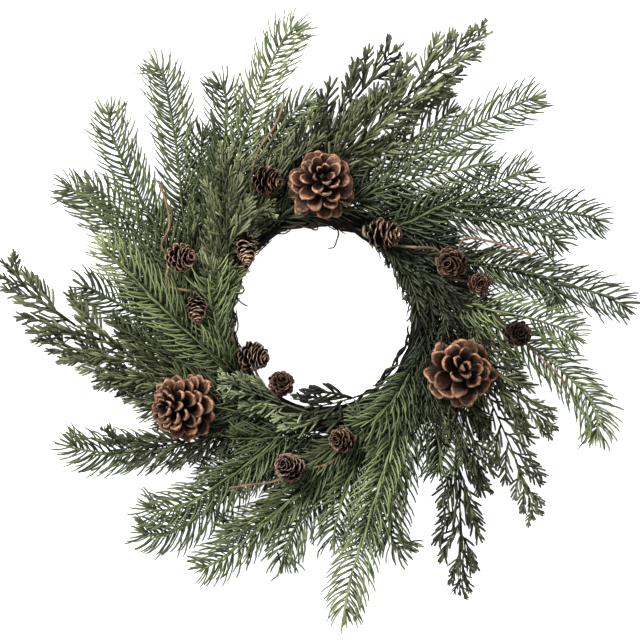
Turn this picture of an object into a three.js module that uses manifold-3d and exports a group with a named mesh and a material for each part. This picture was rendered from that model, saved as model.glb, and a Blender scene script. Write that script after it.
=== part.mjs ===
// A pinecone wreath, lying on its back: a ring of dark vines dressed with fir and cedar sprays,
// three open pine cones and twelve small larch cones on wire twigs. Millimetres.
// +Z is the face of the wreath, +Y its top. A clock angle runs from the top towards +X.
import * as THREE from "three";
import Module from "manifold-3d";
import { mergeVertices } from "three/addons/utils/BufferGeometryUtils.js";

const wasm = await Module();
wasm.setup();

// The vine ring
const RING_REACH = 98;
const RING_HALF = 13.5;
const RING_HEIGHT = 12.5;
const RING_STEPS = 54;
const RING_SIDES = 10;
const RING_STRANDS = 3;
const RING_TURNS = 6;
const RING_RELIEF = 0.07;

// Room kept between pieces
const SEAT_GAP = 0.45;
const WIRE_GAP = 0.35;
const CLEAR = 0.4;
const FLOOR = 0.7;
const ROD_STEPS = 7;
const ROD_REACH = 6;
const DOME_STEP = 3;
const FIRST_RUN = 20;
const OWN_BANDS = 3;
const OWN_START = 0.2;
const HEAD_START = 0.1;

// Stems of both kinds of spray
const STEM_ROOT = 1.35;
const STEM_TIP = 0.85;
const STEM_ROOM = 2.0;
const LEAVE_SHARE = 0.13;
const FORK = 2;
const BARE = 24;
const FLATTEN = 0.5;
const LEAST_LEAN = 21;

// Fir needles, which close up and shorten towards the tip. Leans are in degrees.
const FIR_STEP = 7.5;
const FIR_NEEDLE = 26;
const FIR_LEAN = 43;
const FIR_SPREAD = 8;
const FIR_CLOSING = 16;
const FIR_SHORTENING = 0.25;
const FIR_SIZE_SPREAD = 0.16;
const NEEDLE_ROOT = 2.1;
const NEEDLE_END = 0.15;

// Cedar fans: a twig with leaflets
const CEDAR_STEP = 11.5;
const CEDAR_TWIG = 19;
const CEDAR_LEAN = 40;
const CEDAR_SPREAD = 10;
const CEDAR_SHORTENING = 0.3;
const CEDAR_SIZE_SPREAD = 0.2;
const FAN_ROOT = 2.8;
const FAN_RISE = 0.2;
const TOP_RISE = 1.2;
const TOP_EVERY = 5;
const WAIST_SHARE = 0.42;
const TWIG_WAIST = 1.1;
const LEAF_ROOT = 1.9;
const LEAF_SIZE = 11;
const LEAF_LEAN = 38;

// Wire twigs
const WIRE = 1.1;
const WIRE_TAPER = 0.8;
const WIRE_STEP = 13;
const WIRE_LEAVE = 4;

const FIRST_SEED = 101;
const UP = new THREE.Vector3(0, 0, 1);

const LIGHT_FIR = "#71855a";
const MID_FIR = "#4d6040";
const DARK_FIR = "#2f3b2a";
const OLIVE_CEDAR = "#59644a";
const DARK_CEDAR = "#2d3526";
const SAGE_CEDAR = "#869471";
const CONE_BROWN = "#8a5f42";
const LARCH_BROWN = "#5c3f30";
const LARCH_TAN = "#8c6440";
const LARCH_DARK = "#33201a";
const WIRE_BROWN = "#8d6750";
const VINE_BROWN = "#2b2420";

// Fir sprays. A head leaves the ring at a clock angle and a flank (0 outer side, 90 top, 180 inner
// side), bows to the left of its way by bow, passes lift at its middle and ends at tip.
const FIR_SPRAYS = [
  { name: "fir_spray_01", colour: LIGHT_FIR, heads: [
    { root: 303, flank: 12, bow: 19, lift: 36, tip: [-25, 277, 34] },
    { bow: 12, lift: 21, tip: [-14, 207, 20] } ] },
  { name: "fir_spray_02", colour: DARK_FIR, heads: [
    { root: 285, flank: 30, bow: -3, lift: 27, tip: [-102, 226, 26] },
    { bow: 4, lift: 13, tip: [-115, 177, 14] } ] },
  { name: "fir_spray_03", colour: MID_FIR, heads: [
    { root: 268, flank: -8, bow: 2, lift: 20, tip: [-162, 241, 24] },
    { bow: 7, lift: 33, tip: [-203, 199, 34] } ] },
  { name: "fir_spray_04", colour: MID_FIR, heads: [
    { root: 255, flank: 20, bow: 1, lift: 13, tip: [-247, 126, 18] },
    { bow: -8, lift: 25, tip: [-222, 124, 40] } ] },
  { name: "fir_spray_05", colour: LIGHT_FIR, heads: [
    { root: 238, flank: 78, bow: 2, lift: 47, tip: [-208, 68, 44] } ] },
  { name: "fir_spray_06", colour: DARK_FIR, heads: [
    { root: 249, flank: -12, bow: 1, lift: 10, tip: [-233, 30, 12] } ] },
  { name: "fir_spray_07", colour: MID_FIR, heads: [
    { root: 210, flank: 5, bow: 35, lift: 14, tip: [-243, -120, 20] } ] },
  { name: "fir_spray_08", colour: MID_FIR, heads: [
    { root: 197, flank: 55, bow: 15, lift: 30, tip: [-166, -180, 30] },
    { bow: 16, lift: 15, tip: [-173, -206, 16] } ] },
  { name: "fir_spray_09", colour: MID_FIR, heads: [
    { root: 164, flank: 40, bow: 12, lift: 22, tip: [-115, -238, 30] },
    { bow: 14, lift: 22, tip: [-94, -204, 18] } ] },
  { name: "fir_spray_10", colour: MID_FIR, heads: [
    { root: 152, flank: 10, bow: -2, lift: 15, tip: [-36, -233, 16] },
    { bow: -5, lift: 27, tip: [12, -212, 24] } ] },
  { name: "fir_spray_11", colour: LIGHT_FIR, heads: [
    { root: 131, flank: 60, bow: -1, lift: 38, tip: [23, -281, 34] },
    { bow: 2, lift: 22, tip: [45, -210, 22] } ] },
  { name: "fir_spray_12", colour: MID_FIR, heads: [
    { root: 114, flank: 35, bow: -11, lift: 30, tip: [78, -220, 28] },
    { bow: 4, lift: 19, tip: [109, -145, 34] } ] },
  { name: "fir_spray_13", colour: LIGHT_FIR, heads: [
    { root: 115, flank: 88, bow: 10, lift: 42, tip: [33, -94, 42] } ] },
  { name: "fir_spray_14", colour: LIGHT_FIR, heads: [
    { root: 77, flank: 50, bow: 25, lift: 24, tip: [262, -111, 26] },
    { bow: 4, lift: 51, tip: [239, -18, 36] } ] },
  { name: "fir_spray_15", colour: DARK_FIR, heads: [
    { root: 60, flank: 10, bow: 11, lift: 15, tip: [290, 13, 20] },
    { bow: 15, lift: 26, tip: [225, 18, 26] } ] },
  { name: "fir_spray_16", colour: DARK_FIR, heads: [
    { root: 28, flank: 15, bow: 14, lift: 21, tip: [266, 94, 22] },
    { bow: 10, lift: 33, tip: [224, 73, 32] } ] },
  { name: "fir_spray_17", colour: MID_FIR, heads: [
    { root: 36, flank: 68, bow: 2, lift: 40, tip: [195, 141, 36] } ] },
  { name: "fir_spray_18", colour: LIGHT_FIR, heads: [
    { root: 12, flank: 30, bow: 8, lift: 29, tip: [202, 212, 32] },
    { bow: 3, lift: 41, tip: [155, 147, 44] } ] },
  { name: "fir_spray_19", colour: MID_FIR, heads: [
    { root: 3, flank: -10, bow: 3, lift: 12, tip: [122, 201, 14] } ] },
  { name: "fir_spray_20", colour: LIGHT_FIR, heads: [
    { root: 247, flank: 78, bow: 10, lift: 43, tip: [-97, 51, 40] } ] },
];

// Cedar sprays, placed in the same way
const CEDAR_SPRAYS = [
  { name: "cedar_spray_01", colour: OLIVE_CEDAR, heads: [
    { root: 234, flank: 25, bow: 26, lift: 20, tip: [-305, 55, 30] } ] },
  { name: "cedar_spray_02", colour: OLIVE_CEDAR, heads: [
    { root: 227, flank: 5, bow: 8, lift: 13, tip: [-274, -18, 22] },
    { bow: 1, lift: 16, tip: [-216, -57, 26] } ] },
  { name: "cedar_spray_03", colour: DARK_CEDAR, heads: [
    { root: 217, flank: 48, bow: 23, lift: 25, tip: [-207, -105, 30] } ] },
  { name: "cedar_spray_04", colour: DARK_CEDAR, heads: [
    { root: 101, flank: 0, bow: 13, lift: 13, tip: [132, -266, 16] },
    { bow: 3, lift: 25, tip: [154, -164, 26] } ] },
  { name: "cedar_spray_05", colour: OLIVE_CEDAR, heads: [
    { root: 90, flank: 5, bow: 14, lift: 15, tip: [203, -193, 18] },
    { bow: 0, lift: 27, tip: [221, -107, 20] } ] },
  { name: "cedar_spray_06", colour: DARK_CEDAR, heads: [
    { root: 66, flank: 35, bow: 9, lift: 22, tip: [189, -66, 28] } ] },
  { name: "cedar_spray_07", colour: DARK_CEDAR, heads: [
    { root: 345, flank: 15, bow: 9, lift: 13, tip: [70, 262, 16] } ] },
  { name: "cedar_spray_08", colour: OLIVE_CEDAR, heads: [
    { root: 352, flank: 10, bow: 11, lift: 23, tip: [156, 276, 28] },
    { bow: 14, lift: 27, tip: [120, 220, 38] } ] },
  { name: "cedar_spray_09", colour: OLIVE_CEDAR, heads: [
    { root: 324, flank: 45, bow: 1, lift: 31, tip: [-5, 201, 32] } ] },
  { name: "cedar_spray_10", colour: OLIVE_CEDAR, heads: [
    { root: 266, flank: 100, bow: -2, lift: 53, tip: [-91, 160, 40] } ] },
  { name: "cedar_spray_11", colour: SAGE_CEDAR, heads: [
    { root: 292, flank: 40, bow: 16, lift: 30, tip: [-49, 103, 40] } ] },
  { name: "cedar_spray_12", colour: SAGE_CEDAR, heads: [
    { root: 173, flank: 85, bow: 2, lift: 40, tip: [-97, -56, 42] } ] },
  { name: "cedar_spray_13", colour: DARK_CEDAR, heads: [
    { root: 141, flank: 150, bow: 4, lift: 27, tip: [-16, -78, 26] } ] },
  { name: "cedar_spray_14", colour: OLIVE_CEDAR, heads: [
    { root: 45, flank: 100, bow: 8, lift: 37, tip: [117, -3, 38] } ] },
];

// Cones of both kinds: the stalk's neck below the base, its bend, and the core the scales grow from
const NECK = 2.5;
const BEND_LEAST = 8;
const BEND_SAG = 0.25;
const CORE_RISE = 0.8;
const CORE_TAPER = 0.75;
const SCALE_THICKEST = 0.3;
const SCALE_START = new THREE.Vector3(0.3, 1, 0.1);

// Open pine cones: middle, the way the tip points and the place on the ring that holds the stalk.
// A shape lists its scales level by level from the base: their lean from the axis and their length.
const PINE_CONES = [
  { name: "pine_cone_top", at: [-1, 130, 55], tip: [0.03, 0.3, 0.95], clock: 359, flank: 66 },
  { name: "pine_cone_left", at: [-133, -84, 54], tip: [-0.62, 0.02, 0.78], clock: 232, flank: 50 },
  { name: "pine_cone_right", at: [131, -49, 57], tip: [0.12, 0.14, 0.98], clock: 108, flank: 38 },
];
const PINE_CONE = {
  sides: 7, core: 9, length: 46, thick: 3.4, umbo: 1.2, stalk: 1.8, width: 0.84,
  leans: [86, 77, 67, 56, 43, 28, 12],
  lengths: [21, 24, 24, 21.5, 17, 12, 7],
};

// Small larch cones, two to a wire twig: middle and the way the tip points
const LARCH_CONE = {
  sides: 6, core: 6.51, length: 29, thick: 1.6, umbo: 0, stalk: 1.2, width: 0.86,
  leans: [68, 54, 38, 18],
  lengths: [10, 10.4, 9, 6],
};
const LARCH_CONES = {
  larch_cone_01: { at: [-53, 132, 50], tip: [0.85, -0.1, 0.5], colour: LARCH_BROWN },
  larch_cone_02: { at: [-136, 60, 54], tip: [0.72, 0.05, 0.68], colour: LARCH_BROWN },
  larch_cone_03: { at: [-74, 69, 47], tip: [0.05, -0.9, 0.42], colour: LARCH_TAN },
  larch_cone_04: { at: [-124, 11, 49], tip: [0.4, -0.5, 0.76], colour: LARCH_BROWN },
  larch_cone_05: { at: [-67, -35, 39], tip: [0.8, -0.15, 0.56], colour: LARCH_TAN },
  larch_cone_06: { at: [-40, -61, 33], tip: [0.1, 0.35, 0.93], colour: LARCH_BROWN },
  larch_cone_07: { at: [57, 81, 47], tip: [0.9, 0.02, 0.42], colour: LARCH_TAN },
  larch_cone_08: { at: [122, 54, 52], tip: [-0.3, -0.1, 0.95], colour: LARCH_BROWN },
  larch_cone_09: { at: [149, 34, 50], tip: [0, 0.05, 1], colour: LARCH_BROWN },
  larch_cone_10: { at: [187, -14, 50], tip: [0.05, 0.05, 1], colour: LARCH_DARK },
  larch_cone_11: { at: [16, -113, 46], tip: [-0.5, 0.15, 0.85], colour: LARCH_BROWN },
  larch_cone_12: { at: [-33, -139, 52], tip: [-0.4, 0.3, 0.87], colour: LARCH_DARK },
};
const LARCH_STALK = 5;

// Wire twigs: from the ring, under the cones they carry, to a free end on top of the foliage
const TWIGS = [
  { name: "wire_twig_01", clock: 318, flank: 45, way: [[-78, 90, 30], "larch_cone_03",
    [-68, 104, 41], "larch_cone_01", [-62, 160, 42], [-46, 184, 44], [-36, 208, 42]] },
  { name: "wire_twig_02", clock: 276, flank: 70, way: [[-117, 15, 28], "larch_cone_04", [-150, 36, 36],
    "larch_cone_02", [-155, 76, 44], [-148, 96, 50], [-156, 129, 50]] },
  { name: "wire_twig_03", clock: 266, flank: 130, way: [[-87, -16, 32], "larch_cone_05",
    [-77, -49, 27], [-64, -58, 24], "larch_cone_06"] },
  { name: "wire_twig_04", clock: 24, flank: 92, way: ["larch_cone_07", [45, 65, 33], [74, 66, 33],
    [100, 68, 34], "larch_cone_08", [134, 76, 40], [158, 74, 48], [199, 60, 50]] },
  { name: "wire_twig_05", clock: 68, flank: 72, way: ["larch_cone_09", [158, 11, 32],
    "larch_cone_10", [205, -34, 38], [218, -47, 46], [232, -63, 46]] },
  { name: "wire_twig_06", clock: 168, flank: 75, way: ["larch_cone_11", [8, -137, 36],
    "larch_cone_12", [-46, -155, 42], [-70, -158, 46], [-89, -161, 46]] },
];

function vector(p) {
  return new THREE.Vector3(p[0], p[1], p[2]);
}

// A seeded draw, so that the wreath is the same each time
function seeded(seed) {
  let state = seed;
  return () => {
    state = (state + 0x6d2b79f5) | 0;
    let t = Math.imul(state ^ (state >>> 15), 1 | state);
    t = (t + Math.imul(t ^ (t >>> 7), 61 | t)) ^ t;
    return ((t ^ (t >>> 14)) >>> 0) / 4294967296;
  };
}

// Whether the line between two points passes through a triangle
function pierces(from, to, corners) {
  const length = from.distanceTo(to);
  const ray = new THREE.Ray(from, to.clone().sub(from).divideScalar(length));
  const hit = ray.intersectTriangle(...corners, false, new THREE.Vector3());
  return hit !== null && hit.distanceTo(from) < length;
}

// A solid that grows: bands of triangles between sections, with spikes, scales and twigs raised
// from single triangles, so that every root is part of what it grows from.
class Growth {
  constructor() {
    this.points = [];
    this.faces = [];
  }

  point(p) {
    this.points.push(p.clone());
    return this.points.length - 1;
  }

  section(centre, along, side, radius, sides, turn) {
    const second = new THREE.Vector3().crossVectors(along, side);
    const ring = [];
    for (let k = 0; k < sides; k += 1) {
      const angle = turn + (2 * Math.PI * k) / sides;
      const p = centre.clone().addScaledVector(side, radius * Math.cos(angle));
      ring.push(this.point(p.addScaledVector(second, radius * Math.sin(angle))));
    }
    return ring;
  }

  // The triangles between two sections, the second turned by half a side
  band(rear, front) {
    const sides = rear.length;
    const triangles = [];
    for (let k = 0; k < sides; k += 1) {
      const next = (k + 1) % sides;
      triangles.push([rear[k], rear[next], front[k]]);
      triangles.push([rear[next], front[next], front[k]]);
    }
    return triangles;
  }

  centre(triangle) {
    const sum = new THREE.Vector3();
    triangle.forEach((i) => sum.add(this.points[i]));
    return sum.divideScalar(triangle.length);
  }

  plain(triangle) {
    this.faces.push(triangle);
  }

  spike(triangle, tip) {
    const top = this.point(tip);
    const [a, b, c] = triangle;
    this.faces.push([a, b, top], [b, c, top], [c, a, top]);
  }

  // Whether a spike from a triangle to a tip would pass through a face of its own solid
  crosses(triangle, tip, pending) {
    const rim = triangle.map((i, n) => [i, triangle[(n + 1) % 3]]);
    return [...this.faces, ...pending].some((face) => {
      if (face === triangle) return false;
      const corners = face.map((i) => this.points[i]);
      const edges = face.map((i, n) => [i, face[(n + 1) % 3]]);
      const into = triangle.some((i) => !face.includes(i) && pierces(this.points[i], tip, corners));
      return into || rim.some(([i, j]) => {
        const side = [this.points[i], this.points[j], tip];
        const loose = edges.filter((edge) => !edge.includes(i) && !edge.includes(j));
        return loose.some(([k, m]) => pierces(this.points[k], this.points[m], side));
      });
    });
  }

  // A cone scale: a wedge that widens from its root to a thick end with a low boss
  scale(triangle, axis, along, out, length, lean, sides, shape) {
    const across = new THREE.Vector3().crossVectors(along, out);
    const way = along.clone().multiplyScalar(Math.cos(lean)).addScaledVector(out, Math.sin(lean));
    const lift = along.clone().multiplyScalar(Math.sin(lean)).addScaledVector(out, -Math.cos(lean));
    const end = this.centre(triangle).addScaledVector(way, length);
    const arm = end.clone().sub(axis);
    const reach = arm.addScaledVector(along, -arm.dot(along)).length();
    const width = (shape.width * 2 * Math.PI * reach) / sides;
    const thick = Math.min(shape.thick, SCALE_THICKEST * length);
    const d = this.point(end.clone().addScaledVector(across, -width / 2));
    const e = this.point(end.clone().addScaledVector(across, width / 2));
    const f = this.point(end.clone().addScaledVector(lift, thick));
    const boss = end.clone().addScaledVector(lift, thick / 3).addScaledVector(way, shape.umbo);
    const [a, b, c] = triangle;
    this.faces.push([a, b, e], [a, e, d], [b, c, f], [b, f, e], [c, a, d], [c, d, f]);
    if (shape.umbo > 0) this.spike([d, e, f], boss);
    else this.plain([d, e, f]);
  }

  geometry() {
    const positions = new Float32Array(this.faces.length * 9);
    this.faces.flat().forEach((i, n) => this.points[i].toArray(positions, 3 * n));
    const geometry = new THREE.BufferGeometry();
    geometry.setAttribute("position", new THREE.BufferAttribute(positions, 3));
    return geometry;
  }
}

function piece(name, geometry, colour, roughness) {
  geometry.computeVertexNormals();
  const material = new THREE.MeshStandardMaterial({ color: colour, roughness, metalness: 0 });
  const mesh = new THREE.Mesh(geometry, material);
  mesh.name = name;
  return mesh;
}

// Joins the heads of a spray into one body
function fused(growths) {
  const solids = growths.map((growth) => {
    const merged = mergeVertices(growth.geometry(), 1e-4);
    const vertProperties = merged.attributes.position.array;
    const triVerts = new Uint32Array(merged.index.array);
    return new wasm.Manifold(new wasm.Mesh({ numProp: 3, vertProperties, triVerts }));
  });
  const joined = solids.reduce((sum, solid) => sum.add(solid)).getMesh();
  const geometry = new THREE.BufferGeometry();
  geometry.setAttribute("position", new THREE.BufferAttribute(joined.vertProperties, 3));
  geometry.setIndex(new THREE.BufferAttribute(joined.triVerts, 1));
  return geometry.toNonIndexed();
}

// Directions and side vectors along a run of points that leaves along out, carried without twist
function frames(points, out) {
  const ways = points.map((p, i) => {
    const before = points[Math.max(i - 1, 0)];
    const after = points[Math.min(i + 1, points.length - 1)];
    return new THREE.Vector3().subVectors(after, before).normalize();
  });
  ways[0].copy(out);
  const middle = points.length >> 1;
  const sides = [];
  sides[middle] = new THREE.Vector3().crossVectors(UP, ways[middle]).normalize();
  const carry = (from, to) => {
    const turn = new THREE.Quaternion().setFromUnitVectors(ways[from], ways[to]);
    sides[to] = sides[from].clone().applyQuaternion(turn);
  };
  for (let i = middle + 1; i < points.length; i += 1) carry(i - 1, i);
  for (let i = middle - 1; i >= 0; i -= 1) carry(i + 1, i);
  return { ways, sides };
}

// The vine bundle: strands twisted round each other raise its surface, and its foot is flat
function ringRadius(clock, round) {
  return RING_HALF * (1 + RING_RELIEF * Math.cos(RING_STRANDS * round - RING_TURNS * clock));
}

function vineRing() {
  const ring = new Growth();
  const rows = [];
  for (let i = 0; i < RING_STEPS; i += 1) {
    const clock = (2 * Math.PI * i) / RING_STEPS;
    const out = new THREE.Vector3(Math.sin(clock), Math.cos(clock), 0);
    const row = [];
    for (let k = 0; k < RING_SIDES; k += 1) {
      const round = -Math.PI / 2 + (2 * Math.PI * (k + 0.5)) / RING_SIDES;
      const radius = ringRadius(clock, round);
      const foot = k === 0 || k === RING_SIDES - 1;
      const reach = RING_REACH + (foot ? RING_HALF : radius) * Math.cos(round);
      const height = foot ? 0 : RING_HEIGHT + radius * Math.sin(round);
      row.push(ring.point(out.clone().multiplyScalar(reach).setZ(height)));
    }
    rows.push(row);
  }
  for (let i = 0; i < RING_STEPS; i += 1) {
    const a = rows[i];
    const b = rows[(i + 1) % RING_STEPS];
    for (let k = 0; k < RING_SIDES; k += 1) {
      const next = (k + 1) % RING_SIDES;
      ring.plain([a[k], a[next], b[k]]);
      ring.plain([a[next], b[next], b[k]]);
    }
  }
  return piece("vine_ring", ring.geometry(), VINE_BROWN, 0.9);
}

const vines = vineRing();
vines.updateMatrixWorld();

// A place on the ring where a stem is tucked in, and the way out of it
function seat(clock, flank) {
  const around = THREE.MathUtils.degToRad(clock);
  const rise = THREE.MathUtils.degToRad(flank);
  const out = new THREE.Vector3(Math.sin(around), Math.cos(around), 0);
  const aim = out.clone().multiplyScalar(Math.cos(rise)).addScaledVector(UP, Math.sin(rise));
  const middle = out.clone().multiplyScalar(RING_REACH).setZ(RING_HEIGHT);
  const far = middle.clone().addScaledVector(aim, 3 * RING_HALF);
  const hit = new THREE.Raycaster(far, aim.negate()).intersectObject(vines)[0];
  const normal = hit.face.normal.clone();
  return { point: hit.point.addScaledVector(normal, SEAT_GAP), normal };
}

// Room: what is already placed, as tapered rods, and the profiles of the cones
const rods = [];
const domes = [];

function rod(owner, head, kind, from, to, thickFrom, thickTo) {
  const middle = from.clone().add(to).multiplyScalar(0.5);
  const half = from.distanceTo(to) / 2;
  return { owner, head, kind, from, to, thickFrom, thickTo, middle, half };
}

// The least room left between two tapered rods
function roomBetween(p, q, r, s) {
  const d1 = new THREE.Vector3().subVectors(q.to, q.from);
  const d2 = new THREE.Vector3().subVectors(s.to, s.from);
  const w = new THREE.Vector3().subVectors(q.from, s.from);
  const a = d1.dot(d1);
  const e = d2.dot(d2);
  const f = d2.dot(w);
  const b = d1.dot(d2);
  const c = d1.dot(w);
  const bottom = a * e - b * b;
  let u = bottom > 1e-9 ? THREE.MathUtils.clamp((b * f - c * e) / bottom, p, 1) : p;
  let v = THREE.MathUtils.clamp((b * u + f) / e, r, 1);
  u = THREE.MathUtils.clamp((b * v - c) / a, p, 1);
  v = THREE.MathUtils.clamp((b * u + f) / e, r, 1);
  const x = q.from.clone().addScaledVector(d1, u);
  const y = s.from.clone().addScaledVector(d2, v);
  const thick = THREE.MathUtils.lerp(q.thickFrom, q.thickTo, u);
  return x.distanceTo(y) - thick - THREE.MathUtils.lerp(s.thickFrom, s.thickTo, v);
}

// Whether a new rod keeps clear of the floor, the ring, the cones and the rods already placed. It
// may touch what it grows from: its own stem for a few bands each way, and a leaflet its own twig.
function isClear(probe) {
  for (let i = 0; i <= ROD_STEPS; i += 1) {
    const p = probe.from.clone().lerp(probe.to, i / ROD_STEPS);
    const thick = THREE.MathUtils.lerp(probe.thickFrom, probe.thickTo, i / ROD_STEPS);
    if (p.z - thick < FLOOR) return false;
    const toRing = Math.hypot(Math.hypot(p.x, p.y) - RING_REACH, p.z - RING_HEIGHT);
    if (!probe.first && toRing < RING_HALF * (1 + RING_RELIEF) + CLEAR + thick) return false;
    if (domes.some((dome) => dome.holds(p, thick + CLEAR))) return false;
  }
  return rods.every((other) => {
    const reach = probe.half + other.half + ROD_REACH;
    if (probe.middle.distanceToSquared(other.middle) > reach * reach) return true;
    const sameSpray = probe.owner === other.owner;
    if (sameSpray && probe.kind === "stem" && other.kind === "stem") return true;
    const sameHead = sameSpray && probe.head === other.head;
    const apart = sameHead ? Math.abs(other.order - probe.order) : Infinity;
    if (other.kind === "stem" && apart < OWN_BANDS) {
      return probe.kind !== "leaf" || roomBetween(OWN_START, probe, 0, other) >= 0;
    }
    if (probe.kind === "leaf" && other.kind === "twig" && apart === 0) return true;
    const from = sameHead ? HEAD_START : 0;
    return roomBetween(from, probe, from, other) >= CLEAR;
  });
}

// A cone's outline round its axis, in steps along it
class Dome {
  constructor(base, along, length, points) {
    this.base = base;
    this.along = along;
    this.reach = new Array(Math.ceil(length / DOME_STEP) + 8).fill(0);
    this.start = -3 * DOME_STEP;
    points.forEach((p) => {
      const { height, out } = this.place(p);
      const bin = Math.floor((height - this.start) / DOME_STEP);
      [bin - 1, bin, bin + 1].forEach((i) => {
        if (i >= 0 && i < this.reach.length) this.reach[i] = Math.max(this.reach[i], out);
      });
    });
  }

  place(p) {
    const arm = new THREE.Vector3().subVectors(p, this.base);
    const height = arm.dot(this.along);
    return { height, out: Math.sqrt(Math.max(arm.lengthSq() - height * height, 0)) };
  }

  holds(p, margin) {
    const { height, out } = this.place(p);
    const bin = Math.floor((height - this.start) / DOME_STEP);
    const reach = this.reach[bin] || 0;
    return reach > 0 && out < reach + margin;
  }
}

// A cone on a stalk: a core whose bands carry a scale on every other triangle
function cone(name, colour, at, tip, shape, stalkFrom, stalkWay) {
  const growth = new Growth();
  const along = vector(tip).normalize();
  const middle = vector(at);
  const base = middle.clone().addScaledVector(along, -shape.length / 2);
  const levels = shape.leans.length;
  const side = new THREE.Vector3().crossVectors(along, SCALE_START).normalize();
  const turn = Math.PI / shape.sides;
  const stations = [{ p: stalkFrom, way: stalkWay, radius: shape.stalk }];
  const neck = base.clone().addScaledVector(along, -NECK);
  const between = stalkFrom.distanceTo(neck);
  if (between > BEND_LEAST) {
    const bend = stalkFrom.clone().addScaledVector(stalkWay, between / 3);
    bend.lerp(neck, BEND_SAG);
    stations.push({ p: bend, way: neck.clone().sub(stalkFrom).normalize(), radius: shape.stalk });
  }
  stations.push({ p: neck, way: along, radius: shape.stalk });
  for (let i = 0; i <= levels; i += 1) {
    const share = i / levels;
    const p = base.clone().addScaledVector(along, share * shape.length * CORE_RISE);
    stations.push({ p, way: along, radius: shape.core * (1 - CORE_TAPER * share * share) });
  }
  let rear = null;
  stations.forEach((station, i) => {
    const flat = side.clone().addScaledVector(station.way, -side.dot(station.way)).normalize();
    const front = growth.section(station.p, station.way, flat, station.radius, shape.sides, turn * i);
    const level = i - (stations.length - levels);
    if (rear) {
      growth.band(rear, front).forEach((triangle, n) => {
        if (level < 0 || n % 2 === 1) {
          growth.plain(triangle);
          return;
        }
        const out = growth.centre(triangle).sub(station.p);
        out.addScaledVector(along, -out.dot(along)).normalize();
        const lean = THREE.MathUtils.degToRad(shape.leans[level]);
        const length = shape.lengths[level];
        growth.scale(triangle, base, along, out, length, lean, shape.sides, shape);
      });
    } else {
      for (let k = 1; k < shape.sides - 1; k += 1) growth.plain([front[0], front[k + 1], front[k]]);
    }
    rear = front;
  });
  const top = middle.clone().addScaledVector(along, shape.length * 0.5);
  const crown = growth.point(top);
  rear.forEach((p, k) => growth.plain([p, rear[(k + 1) % shape.sides], crown]));
  domes.push(new Dome(base, along, shape.length, growth.points));
  rods.push(rod(name, 0, "stalk", stalkFrom, neck, shape.stalk, shape.stalk));
  return piece(name, growth.geometry(), colour, 0.8);
}

// A slim stem of three sides through a run of points. It gives its bands back for growing on.
function stem(growth, points, out, rootRadius, tipRadius) {
  const { ways, sides } = frames(points, out);
  const bands = [];
  let last = null;
  points.forEach((p, i) => {
    if (i === points.length - 1) {
      bands.push({ end: last, tip: p, triangles: [] });
      return;
    }
    const radius = THREE.MathUtils.lerp(rootRadius, tipRadius, i / (points.length - 1));
    const turn = Math.PI / 6 + (Math.PI / 3) * i;
    const front = growth.section(p, ways[i], sides[i], radius, 3, turn);
    if (last) {
      const at = points[i - 1].clone().lerp(p, 0.5);
      bands.push({ triangles: growth.band(last, front), at, way: ways[i] });
    } else {
      growth.plain([front[0], front[2], front[1]]);
    }
    last = front;
  });
  return bands;
}

// The way of a spray's head: out of its seat and on to its tip. The second handle is the one that
// brings the curve through its middle, which stands off the straight way by bow.
function headCurve(from, out, head) {
  const tip = vector(head.tip);
  const run = tip.clone().sub(from).setZ(0);
  const left = new THREE.Vector3().crossVectors(UP, run).normalize();
  const middle = from.clone().lerp(tip, 0.5).addScaledVector(left, head.bow).setZ(head.lift);
  const leave = from.clone().addScaledVector(out, run.length() * LEAVE_SHARE);
  const near = middle.clone().multiplyScalar(8).sub(from).sub(tip).addScaledVector(leave, -3);
  return new THREE.CubicBezierCurve3(from, leave, near.divideScalar(3), tip);
}

// Points along a head. Its bow and lift have to keep it clear of the stems placed before it.
function headPoints(name, index, from, out, head, step) {
  const curve = headCurve(from, out, head);
  const points = curve.getSpacedPoints(Math.round(curve.getLength() / step));
  const stems = points.slice(1).map((p, i) => {
    const stretch = rod(name, index, "stem", points[i], p, STEM_ROOM, STEM_ROOM);
    return { ...stretch, first: i * step < FIRST_RUN, order: i };
  });
  if (!stems.every(isClear)) throw new Error(`${name} head ${index} isn't clear of the others`);
  rods.push(...stems);
  return points;
}

// The stems of a spray: the first head from the ring, the second out of the first near its root
function sprayStems({ name, heads }, step) {
  const [first, second] = heads;
  const { point, normal } = seat(first.root, first.flank);
  const points = headPoints(name, 0, point, normal, first, step);
  const stems = [{ points, out: normal }];
  if (second) {
    const fork = points[FORK];
    const out = points[FORK + 1].clone().sub(fork).normalize();
    stems.push({ points: headPoints(name, 1, fork, out, second, step), out });
  }
  return stems.map((run, head) => {
    const growth = new Growth();
    return { head, growth, bands: stem(growth, run.points, run.out, STEM_ROOT, STEM_TIP) };
  });
}

// Directions tried for a needle or leaflet, from the one it should have to shorter, bent ones
const BENDS = [
  { rise: 0, lean: 0, size: 1 }, { rise: 0.3, lean: 0, size: 1 }, { rise: -0.3, lean: 0, size: 1 },
  { rise: 0.15, lean: -14, size: 0.95 }, { rise: -0.15, lean: -14, size: 0.95 },
  { rise: 0.6, lean: -6, size: 0.9 }, { rise: -0.6, lean: -6, size: 0.9 },
  { rise: 0, lean: -24, size: 0.85 }, { rise: 0.3, lean: 0, size: 0.7 },
  { rise: -0.3, lean: 0, size: 0.7 }, { rise: 0, lean: -10, size: 0.55 },
];

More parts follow.
